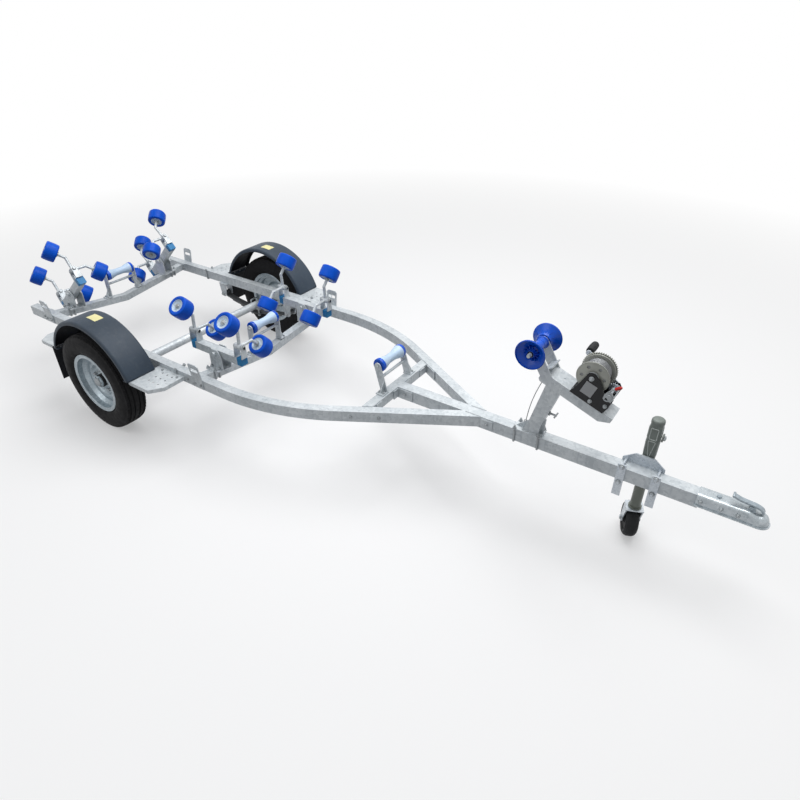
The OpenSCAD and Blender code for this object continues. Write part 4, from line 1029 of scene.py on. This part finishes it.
def holedDisc(centre, axis, inner, outer, holeAt, holeRadius, count, thickness):
    # a flat ring of like sectors; in each, faces run from the sector's border to a round hole
    axis, u, v = frameOf(axis)
    half = np.pi / count
    arc = np.linspace(-half, half, 9)
    edge = np.linspace(outer, inner, 5)[1:-1]
    border = np.concatenate([
        np.stack([outer * np.cos(arc), outer * np.sin(arc)], 1),
        np.stack([edge * np.cos(half), edge * np.sin(half)], 1),
        np.stack([inner * np.cos(arc[::-1]), inner * np.sin(arc[::-1])], 1),
        np.stack([edge[::-1] * np.cos(half), -edge[::-1] * np.sin(half)], 1)])
    away = border - [holeAt, 0]
    hole = [holeAt, 0] + holeRadius * away / np.linalg.norm(away, axis=1)[:, None]
    flat = np.concatenate([border, hole])
    n = len(border)
    turns = 2 * np.pi * np.arange(count) / count
    x = flat[None, :, 0] * np.cos(turns)[:, None] - flat[None, :, 1] * np.sin(turns)[:, None]
    y = flat[None, :, 0] * np.sin(turns)[:, None] + flat[None, :, 1] * np.cos(turns)[:, None]
    base = np.asarray(centre) + x[..., None] * u + y[..., None] * v
    points = np.concatenate([base, base + axis * thickness], 1)
    k = np.arange(n)
    m = (k + 1) % n
    front = np.stack([k, m, m + n, k + n], 1)
    back = front[:, ::-1] + 2 * n
    holeWall = np.stack([k + n, m + n, m + 3 * n, k + 3 * n], 1)
    arcSides = len(arc) - 1
    innerStart = len(arc) + len(edge)
    rims = np.concatenate([np.arange(arcSides), np.arange(innerStart, innerStart + arcSides)])
    edgeWall = np.stack([rims + 2 * n, rims + 1 + 2 * n, rims + 1, rims], 1)
    one = np.concatenate([front, back, holeWall, edgeWall])
    faces = (one[None] + (np.arange(count) * 4 * n)[:, None, None]).reshape(-1, 4)
    return shape(points.reshape(-1, 3), faces.tolist())


def makeDrum():
    # near and far flange with round holes, the large gear, rolled flange lips and the wound wire
    bore, flange = winchSize["bore"], winchSize["flange"]
    lip = [(0.0655, -0.0022), (flange, -0.0030), (0.0712, -0.0015), (0.0712, 0.0012), (flange, 0.0020),
           (0.0655, 0.0004)]
    parts = [holedDisc(drumPlace + across * y, across, bore, flange, 0.0480, 0.0075, 6, 0.0035)
             for y in (-0.0455, 0.0262)]
    parts += [lathe(lip, drumPlace + across * y, across * s, 96) for y, s in ((-0.0455, -1), (0.0297, 1))]
    parts.append(gearRing(drumPlace, winchSize["gearOuter"], 0.0728, bore, winchSize["gearTeeth"]))
    parts.append(washer(drumPlace + across * 0.0296, across, bore, 0.0300, 0.0050, 48))
    # each turn of wire is a ridge of the profile
    w = winchSize["wire"]
    y = np.arange(-0.0415, 0.0255, w / 8)
    level = 0.0530 + 0.0020 * np.abs(np.cos(np.pi * y / w)) + 0.0015 * np.sin(y * 90)
    coil = np.concatenate([[(bore, y[0])], np.stack([level, y], 1), [(bore, y[-1])]])
    parts.append(lathe(coil, drumPlace, across, 96, True, 1))
    boss = [(0.0090, 0), (0.0250, 0), (0.0250, 0.0015), (0.0225, 0.0030), (0.0160, 0.0036), (0.0090, 0.0036)]
    parts.append(lathe(boss, drumPlace - across * 0.0452, -across, 48, True, 2))
    makePiece("winchDrumDetail", parts, "winch_drum", ["drum", "wire", "bolt"], 35, None,
              ["winch_drum"])


def makeCrank():
    # shaft with its pinion, flat arm between two arcs, and a grip whose profile swells and carries rings
    arm = winchSize["arm"]
    angle = math.radians(142) + traySlope
    way = math.cos(angle) * trayAlong + math.sin(angle) * trayUp
    end = crankPlace + way * arm
    parts = [rod(crankPlace - across * 0.066, crankPlace + across * 0.076, 0.008, 24),
             rod(end + across * 0.066, end + across * 0.086, 0.0065),
             gearRing(crankPlace, winchSize["pinionOuter"], 0.0195, 0.0070, winchSize["pinionTeeth"], 0.12)]
    t = np.linspace(-np.pi / 2, np.pi / 2, 13)
    turn = np.stack([np.cos(t), np.sin(t)], 1)
    outline = np.concatenate([[arm, 0] + 0.0115 * turn, 0.0138 * turn[::-1]])
    parts.append(prism(outline, crankPlace + across * 0.0683, way, np.cross(way, across), across * 0.0055))
    for place, size in ((crankPlace, 0.0095), (end, 0.0065)):
        parts.append(hexNut(place + across * 0.0738, across, size * 2, size * 0.8))
    a = np.linspace(0, 1, 61)
    grip = 0.0158 + 0.0018 * np.sin(np.pi * a) + 0.0009 * (np.cos(a * 2 * np.pi * 7) > 0)
    profile = np.concatenate([[(0, 0.0845), (0.0130, 0.0845)], np.stack([grip, 0.0865 + 0.0700 * a], 1),
                              [(0.0140, 0.1590), (0.0100, 0.1605), (0, 0.1605)]])
    parts.append(lathe(profile, end, across, 48, False, 1))
    makePiece("winchCrankArm", parts, "winch_crank", ["zinc", "grip"], 35, None,
              ["winch_crank"])


def makeWinchFittings():
    # pins, tie rod ends, base bolts, blank label, ratchet pawl and its lever with a red tip
    plate = winchSize["plate"]
    parts = boltHead(onTray(0.294, -plate, 0.039), -across, 0.0085, 0.4)
    for x, z, size in ((*winchSize["drumAt"], 0.0100), (0.232, 0.018, 0.0085)):
        parts += boltHead(onTray(x, -plate, z), -across, size, 0.5)
        parts += boltHead(onTray(x, plate, z), across, size * 0.7, 0.3)
    for x in (0.150, 0.292):
        for y in (-0.036, 0.036):
            parts += boltHead(onTray(x, y, 0.005), trayUp, 0.0070, 0.5)
    parts.append(block((0.174, -0.0590, 0.032), (0.226, -0.0580, 0.093), 1, trayAlong, across, trayUp,
                       trayOrigin))
    pawl = [(0.266, 0.070), (0.262, 0.092), (0.268, 0.112), (0.280, 0.116), (0.300, 0.102), (0.306, 0.086),
            (0.296, 0.072)]
    parts.append(prism(pawl, trayOrigin - across * 0.0660, trayAlong, trayUp, across * 0.0060))
    parts.append(rod(onTray(0.285, -0.070, 0.092), onTray(0.285, -0.058, 0.092), 0.0125, 24))
    lever = [onTray(0.270, -0.0630, 0.110), onTray(0.277, -0.0640, 0.126), onTray(0.287, -0.0650, 0.142)]
    parts.append(tube(lever, 0.0036, across))
    tip = onTray(0.284, -0.0650, 0.138)
    cover = [(0, 0), (0.0055, 0.001), (0.0068, 0.006), (0.0072, 0.020), (0.0062, 0.028), (0.003, 0.0315),
             (0, 0.032)]
    parts.append(lathe(cover, tip, onTray(0.299, -0.0650, 0.160) - tip, 24, False, 2))
    spring = [onTray(0.300, -0.062, 0.070), onTray(0.302, -0.052, 0.092), onTray(0.300, 0.052, 0.092),
              onTray(0.300, 0.062, 0.070)]
    parts.append(tube(spring, 0.0030, along, 10))
    crankX, crankZ = winchSize["crankAt"]
    parts.append(washer(onTray(crankX, -plate, crankZ), -across, 0.0084, 0.0150, 0.0025))
    makePiece("winchFittings", parts, "trailer", ["bolt", "label", "redTip"], 35, 0.0006)


makeDrum()
makeCrank()
makeWinchFittings()
print("winch made")


def crossTop(y, zEnd, half=0.509, dip=0.062):
    # height of a dipped crossmember's top: straight down from its end to the middle
    return zEnd - dip * (1 - abs(y) / half)


frameSize = {"crossRear": -0.800, "crossMid": 0.625, "crossFront": 1.600, "keelFront": 1.592,
             "endMid": 0.428, "endRear": 0.440, "crossH": 0.044, "postX": 2.372, "jackX": 2.888,
             "jackY": 0.069, "railHalf": 0.565, "barH": 0.066, "midZ": 0.420, "lowZ": 0.418,
             "innerFace": 0.5087, "bracketTop": 0.0063, "padTop": 0.4240, "barSide": 0.0350,
             "lean": math.radians(30), "leanX": 1.485, "leanY": 0.39485}


def railLine(x):
    # the outer face of the rail's sloping part: it comes in by the tangent of its lean
    return frameSize["leanY"] - (x - frameSize["leanX"]) * math.tan(frameSize["lean"])


def makeClamps():
    # bolts and U-bolts on the left of the frame, then the same on the right
    s = frameSize
    down = -up
    parts = []
    for x, end in ((s["crossMid"], s["endMid"]), (s["crossRear"], s["endRear"])):
        for y in (0.400, 0.427):
            top = crossTop(y, end) + 0.0064
            parts += uBolt(at(x, y, top), along, down, 0.0600, s["crossH"] + 0.0120, 0.0045, 0.016)
        bracketTop = crossTop(0.152, end) + s["bracketTop"]
        for way in (-1, 1):
            parts += boltHead(at(x + way * 0.014, 0.137, bracketTop), up, 0.0062, 0.5)
            # the plates that close the crossmember's ends are bolted through the rail
            parts += boltHead(at(x + way * 0.034, s["railHalf"], s["midZ"]), across, 0.0075, 0.3)
            parts += boltHead(at(x + way * 0.034, s["innerFace"], s["midZ"]), -across, 0.0070, 0.6)
    # front keel bracket, front crossmember's bracket, and the sloping rail beside it
    for dx in (-0.014, 0.014):
        parts += boltHead(at(s["keelFront"] + dx, 0.135, railTop + s["bracketTop"]), up, 0.0062, 0.5)
    parts += boltHead(at(s["crossFront"] + 0.030, 0.250, railTop - 0.025), along, 0.0085, 0.5)
    outward = np.array([math.sin(s["lean"]), math.cos(s["lean"]), 0])
    for x in (1.558, 1.681):
        parts += boltHead(at(x, railLine(x), s["lowZ"]), outward, 0.0085, 0.4)
    # leaf spring clamps over the axle, and pins of the spring hangers
    for dx in (-0.034, 0.034):
        parts += uBolt(at(dx, 0.528, hubZ - 0.062), across, up, 0.0640, 0.0960, 0.0050, 0.012)
    pinZ = boxOf("spring_hangers")[0][2] + 0.0225
    for x in (-0.320, 0.320):
        for y, way in ((0.5655, 1), (0.4905, -1)):
            parts.append(hexNut(at(x, y, pinZ), across * way, 0.022, 0.009))
    # tie-down plate bolts
    for x in (0.677, -0.773):
        for dx in (-0.026, 0.026):
            parts += boltHead(at(x + dx, s["railHalf"] + 0.005, s["lowZ"]), across, 0.0075, 0.4)
    # step plate bolts into the rail, and their brackets' U-bolts round the rail
    for way in (1, -1):
        x = way * 0.500
        middle = at(x, s["railHalf"] - 0.025, railTop + 0.0002)
        parts += uBolt(middle, across, down, 0.0600, 0.0660, 0.0045, 0.012)
        parts += boltHead(at(x + way * 0.035, s["railHalf"] + 0.030, s["padTop"]), up, 0.0070, 0.4)
        parts += boltHead(at(x - way * 0.100, s["railHalf"] + 0.022, s["padTop"]), up, 0.0070, 0.4)
    makePiece("frameClamps", mirrored(parts), "trailer", ["bolt"], 35)


def makeDrawbarFittings():
    s = frameSize
    parts = []
    plate = 0.0083
    drop = s["barH"] + plate + 0.0062
    for x in (s["postX"] - 0.074, s["postX"] + 0.046):
        parts += uBolt(at(x, 0, railTop + plate), across, -up, 0.0700, drop, 0.0045, 0.018)
    # jack clamp nuts at both ends of its four bolts
    for x in (s["jackX"] - 0.080, s["jackX"] + 0.066):
        for z in (railTop + 0.009, railTop - s["barH"] - 0.009):
            parts.append(hexNut(at(x, -0.0372, z), -across, 0.0190, 0.0090))
            parts.append(washer(at(x, -0.0371, z), -across, 0.006, 0.0125, 0.0016, 24))
            parts.append(hexNut(at(x, 0.0366, z), across, 0.0190, 0.0090))
    # on both sides: coupling bolts, then saddle and strap bolts near the drawbar's rear end
    for way in (-1, 1):
        for x in (3.138, 3.217, 3.280):
            parts += boltHead(at(x, way * 0.0366, 0.4270), across * way, 0.0085, 0.5)
        parts += boltHead(at(1.672, way * s["barSide"], s["midZ"]), across * way, 0.0080, 0.4)
        parts += boltHead(at(2.150, way * s["barSide"], s["lowZ"]), across * way, 0.0080, 0.4)
    # shackle that holds the safety wire at the post's foot
    t = np.linspace(0, 2 * np.pi, 28, endpoint=False)
    eye = at(s["postX"] - 0.036, 0, railTop + 0.043)
    ring = eye[None, :] + 0.0085 * (np.cos(t)[:, None] * along + np.sin(t)[:, None] * up)
    parts.append(sweep(circle(0.0022, 10), ring, across, True))
    # T screw at the front of the post
    screw = at(2.444, 0, 0.580)
    handle = screw + along * 0.030
    parts.append(rod(screw - along * 0.020, screw + along * 0.034, 0.0050))
    parts.append(rod(handle - across * 0.022, handle + across * 0.022, 0.0040))
    parts.append(hexNut(screw - along * 0.004, along, 0.0180, 0.0080))
    makePiece("drawbarFittings", parts, "trailer", ["bolt"], 35)


def makeWelds():
    # beads where tubes and plates meet
    s = frameSize
    face, half, saddle = 0.5085, 0.025, 0.3925
    bothSides = []
    for x, end in ((s["crossMid"], s["endMid"]), (s["crossRear"], s["endRear"])):
        low = end - s["crossH"]
        for dx in (-half, half):
            bothSides.append(weldBead([at(x + dx, face, low), at(x + dx, face, end)]))
        bothSides.append(weldBead([at(x - half, face, end), at(x + half, face, end)]))
    for z in (saddle, railTop - 0.0005):
        bothSides.append(weldBead([at(2.030, 0.0303, z), at(2.117, 0.0300, z)]))
    bothSides.append(weldBead([at(2.117, 0.0306, saddle), at(2.117, 0.0306, 0.4485)]))
    for x in (1.575, 1.625):
        y = railLine(x) - 0.0587
        bothSides.append(weldBead([at(x, y, 0.401), at(x, y, 0.449)]))
    parts = [mirrored(bothSides), weldBead([at(1.958, -0.0302, 0.386), at(1.958, -0.0302, 0.449)], 0.0016)]
    # post channel on its foot plate, and the tray on the post
    low, high = s["postX"] - 0.040, s["postX"] + 0.040
    z = railTop + 0.0088
    for way in (-1, 1):
        parts.append(weldBead([at(low, way * 0.0265, z), at(high, way * 0.0265, z)]))
    parts.append(weldBead([at(low, -0.026, z), at(low, 0.026, z)]))
    for y in (-0.0262, 0.0262):
        parts.append(weldBead([onTray(0.036, y, -0.0052), onTray(0.100, y, -0.0052)], 0.0026))
    makePiece("weldBeads", parts, "trailer", ["weld"], 60)


def makeRailEnds():
    # plugs in the rails' rear ends
    parts = []
    for y in (-0.563, 0.517):
        parts.append(block((0, y, 0.3920), (0.0022, y + 0.046, 0.4480), origin=at(-1.0022, 0, 0)))
    makePiece("railEndPlugs", parts, "trailer", ["darkPlasticAndArchShade"], 35, 0.0012)


makeClamps()
makeDrawbarFittings()
makeWelds()
makeRailEnds()
print("frame fittings made")

couplingSize = {"ballX": 3.354, "plate": 0.003, "pinX": 3.196}


def couplingShell():
    # sections of a deep arch, |y / w|^n + |z / h|^n = 1 over a level foot, carried from the drawbar to the
    # nose; width, height and n change along the way, and a second arch inside leaves the foot open
    nose, side, foot, skin = 0.0385, 0.0368, 0.4052, 0.0024
    ballX = couplingSize["ballX"]
    x = np.concatenate([np.linspace(3.120, 3.300, 8), np.linspace(3.306, ballX, 12),
                        ballX + nose * np.sin(np.linspace(0.12, 1.545, 14))])
    past = np.clip((x - ballX) / nose, 0, 1)
    bulb = np.interp(x, [3.290, 3.318, 3.340, ballX], [0, 0.35, 0.85, 1])
    w = (side + (nose - side) * bulb) * np.sqrt(1 - past ** 2)
    drop = np.interp(x, [3.296, 3.318, 3.342, ballX], [0, 0.12, 0.80, 1])
    drop = drop * drop * (3 - 2 * drop)
    h = (0.0512 - 0.0105 * drop) * (1 - past ** 2.6) ** 0.5
    n = 6.5 - 3.9 * bulb
    t = np.linspace(0, np.pi, 41)
    c, q = np.cos(t)[None, :], np.sin(t)[None, :]
    power = 2 / n[:, None]
    ring = [np.stack([np.sign(c) * np.abs(c) ** power * width[:, None],
                      foot + np.abs(q) ** power * height[:, None]], -1)
            for width, height in ((w, h), (np.maximum(w - skin, w * 0.1), np.maximum(h - skin, h * 0.1)))]
    section = np.concatenate([ring[0], ring[1][:, ::-1]], 1)
    points = np.concatenate([np.repeat((axleX + x)[:, None, None], section.shape[1], 1), section], -1)
    m = section.shape[1]
    faces = gridFaces(len(x), m, False, True)
    for start in (0, (len(x) - 1) * m):
        faces += [[start + k, start + k + 1, start + m - 2 - k, start + m - 1 - k] for k in range(m // 2 - 1)]
    return shape(points.reshape(-1, 3), faces)


def couplingFlange():
    # a level strip round the shell's foot: two matching outlines, straight along the sides, round at the nose
    ballX, low, high = couplingSize["ballX"], 0.4012, 0.4056
    t = np.linspace(np.pi / 2, -np.pi / 2, 33)
    lines = []
    for half, rear in ((0.0445, 3.117), (0.0360, 3.121)):
        sides = np.linspace(rear, ballX - 0.004, 9)
        lines.append(np.concatenate([np.stack([sides, np.full(9, half)], 1),
                                     np.stack([ballX + half * np.cos(t), half * np.sin(t)], 1),
                                     np.stack([sides[::-1], np.full(9, -half)], 1)]))
    outer, inner = lines
    n = len(outer)
    points = np.concatenate([np.column_stack([axleX + flat[:, 0], flat[:, 1], np.full(n, z)])
                             for flat, z in ((outer, low), (outer, high), (inner, high), (inner, low))])
    return shape(points, gridFaces(4, n, True, True))


def makeCoupling():
    # a pressed lever: a cross-section with turned-down cheeks carried along a rising path
    path = smoothLine([at(3.362, 0, 0.457), at(3.352, 0, 0.470), at(3.330, 0, 0.4785), at(3.300, 0, 0.4815),
                       at(3.270, 0, 0.4850), at(3.243, 0, 0.4930)], 28)
    w, t, d = 0.0125, couplingSize["plate"], 0.0060
    outline = [(-w, -d), (-w, 0.001), (-w + 0.002, t), (w - 0.002, t), (w, 0.001), (w, -d), (w - t, -d),
               (w - t, -0.0005), (-w + t, -0.0005), (-w + t, -d)]
    roll = [(0, -0.0165), (0.004, -0.0165), (0.0048, -0.0150), (0.0048, 0.0150), (0.004, 0.0165), (0, 0.0165)]
    cheek = [(3.300, 0.452), (3.336, 0.452), (3.328, 0.472), (3.310, 0.474)]
    pinX = couplingSize["pinX"]
    parts = [sweep(outline, path, up), lathe(roll, path[-1], across, 24, False),
             rod(at(3.318, -0.021, 0.4660), at(3.318, 0.021, 0.4660), 0.0045),
             rod(at(pinX, 0, 0.452), at(pinX, 0, 0.464), 0.0060),
             hexNut(at(pinX, 0, 0.4552), up, 0.0190, 0.0080),
             washer(at(pinX, 0, 0.4548), up, 0, 0.0130, 0.0015)]
    parts += [prism(cheek, at(0, y, 0), along, up, across * t) for y in (-0.0185, 0.0155)]
    makePiece("couplingLever", parts, "trailer", ["clampZinc"], 40)
    makePiece("couplingShell", [couplingShell(), couplingFlange()], "trailer", ["couplingSide"],
              40, None, ["coupling"])


def roundedColumn(profile, centre, power, steps=72):
    # point = centre + z * up + r * k(t) * (cos t, sin t), where k rounds a square:
    # (|cos|^p + |sin|^p)^(-1/p), blended back to a circle by the third number of each profile row
    t = np.linspace(0, 2 * np.pi, steps, endpoint=False)
    square = (np.abs(np.cos(t)) ** power + np.abs(np.sin(t)) ** power) ** (-1 / power)
    profile = np.asarray(profile, float)
    r = profile[None, :, 0] * (1 + (square[:, None] - 1) * profile[None, :, 2])
    points = np.stack([r * np.cos(t)[:, None], r * np.sin(t)[:, None],
                       np.repeat(profile[None, :, 1], steps, 0)], -1) + np.asarray(centre)
    return shape(points.reshape(-1, 3), gridFaces(steps, len(profile), True, False))


jackSize = {"half": 0.0262, "neck": 0.0246, "bore": 0.0244, "cap": 0.0284, "skin": 0.0012, "ridge": 0.0017,
            "lift": 0.0005, "panel": 0.0150, "neckRise": 0.060, "shoulderDrop": 0.100, "blind": 0.030}


def jackRidges(centre, top):
    # raised closed lines of a square panel and of a tongue below it, on all four faces, in a lighter grey
    # that is a painted highlight on the ridges
    side = jackSize["panel"]
    neckZ, shoulderZ = railTop + jackSize["neckRise"], top - jackSize["shoulderDrop"]
    square = [(-side, top - 0.040), (side, top - 0.040), (side, top - 0.096), (-side, top - 0.096)]
    tongue = [(-side, top - 0.106), (side, top - 0.106), (0.0030, railTop + 0.050),
              (-0.0030, railTop + 0.050)]
    parts = []
    for u, n in ((along, -across), (across, along), (along, across), (across, -along)):
        for outline in (square, tongue):
            a = np.array(outline + outline[:1])
            line = np.concatenate([a[k] + (a[k + 1] - a[k]) * np.linspace(0.06, 0.94, 9)[:, None]
                                   for k in range(4)])
            depth = np.interp(line[:, 1], [neckZ, shoulderZ],
                              [jackSize["neck"] + jackSize["skin"], jackSize["half"]]) + jackSize["lift"]
            ring = centre + line[:, :1] * u + line[:, 1:] * up + depth[:, None] * n
            parts.append(sweep(circle(jackSize["ridge"], 8), ring, n, True, 1))
    return parts


def makeJack():
    h, neck, bore, cap = (jackSize[k] for k in ("half", "neck", "bore", "cap"))
    centre = at(frameSize["jackX"], frameSize["jackY"], 0)
    low, top = (corner[2] for corner in boxOf("jack_housing"))
    neckZ, shoulderZ = railTop + jackSize["neckRise"], top - jackSize["shoulderDrop"]
    blind = top - jackSize["blind"]
    # outside from the cap's crown down to the open foot, then up the bore to its blind end
    column = [(0, top, 0), (0.0150, top - 0.0006, 0), (0.0232, top - 0.0026, 0), (0.0272, top - 0.0070, 0),
              (cap, top - 0.0130, 0), (cap, top - 0.0220, 0), (0.0270, top - 0.0245, 0.2),
              (h, top - 0.0280, 0.7), (h, top - 0.0340, 1), (h, shoulderZ, 1),
              (neck + jackSize["skin"], neckZ, 1), (neck + 0.0010, low, 1), (bore, low, 0),
              (bore, blind, 0), (0, blind, 0)]
    boss = centre + along * (h + 0.012) + up * (top - 0.088)
    bossDisc = [(0, 0), (0.0180, 0), (0.0195, -0.0015), (0.0195, -0.006), (0, -0.006)]
    parts = [roundedColumn(column, centre, 5)] + jackRidges(centre, top)
    parts.append(lathe(bossDisc, boss, along, 48, False))
    makePiece("jackColumn", parts, "trailer", ["jackPaint", "jackRidgeHighlight"], 40, None,
              ["jack_housing"])
    shaft = [rod(boss, boss + along * 0.010, 0.0070, 20), hexNut(boss + along * 0.001, along, 0.0200, 0.0070)]
    makePiece("jackShaft", shaft, "trailer", ["bolt"], 35)


def makeJockeyWheel():
    # axle nuts on the fork, a raised ring on each face of the wheel and three ridges round its tread
    centre, axis = jointPlace("jockey_spin")
    nuts = [hexNut(centre + axis * s * 0.0390, axis * s, 0.0200, 0.0080) for s in (-1, 1)]
    makePiece("jockeyNuts", nuts, "jockey_fork", ["bolt"], 35)
    face = [(0.0240, 0.0195), (0.0500, 0.0195), (0.0520, 0.0215), (0.0500, 0.0225), (0.0240, 0.0225)]
    rings = [lathe(face, centre, axis * s, 64) for s in (-1, 1)]
    low, high = 0.0830, 0.0849
    ridge = [(low, -0.0012), (high, -0.0008), (high, 0.0008), (low, 0.0012)]
    rings += [lathe(ridge, centre + axis * offset, axis, 96) for offset in (-0.010, 0.0, 0.010)]
    makePiece("jockeyRings", rings, "jockey_wheel", ["jockeyRubber"], 40)


makeCoupling()
makeJack()
makeJockeyWheel()
print("coupling and jack made")
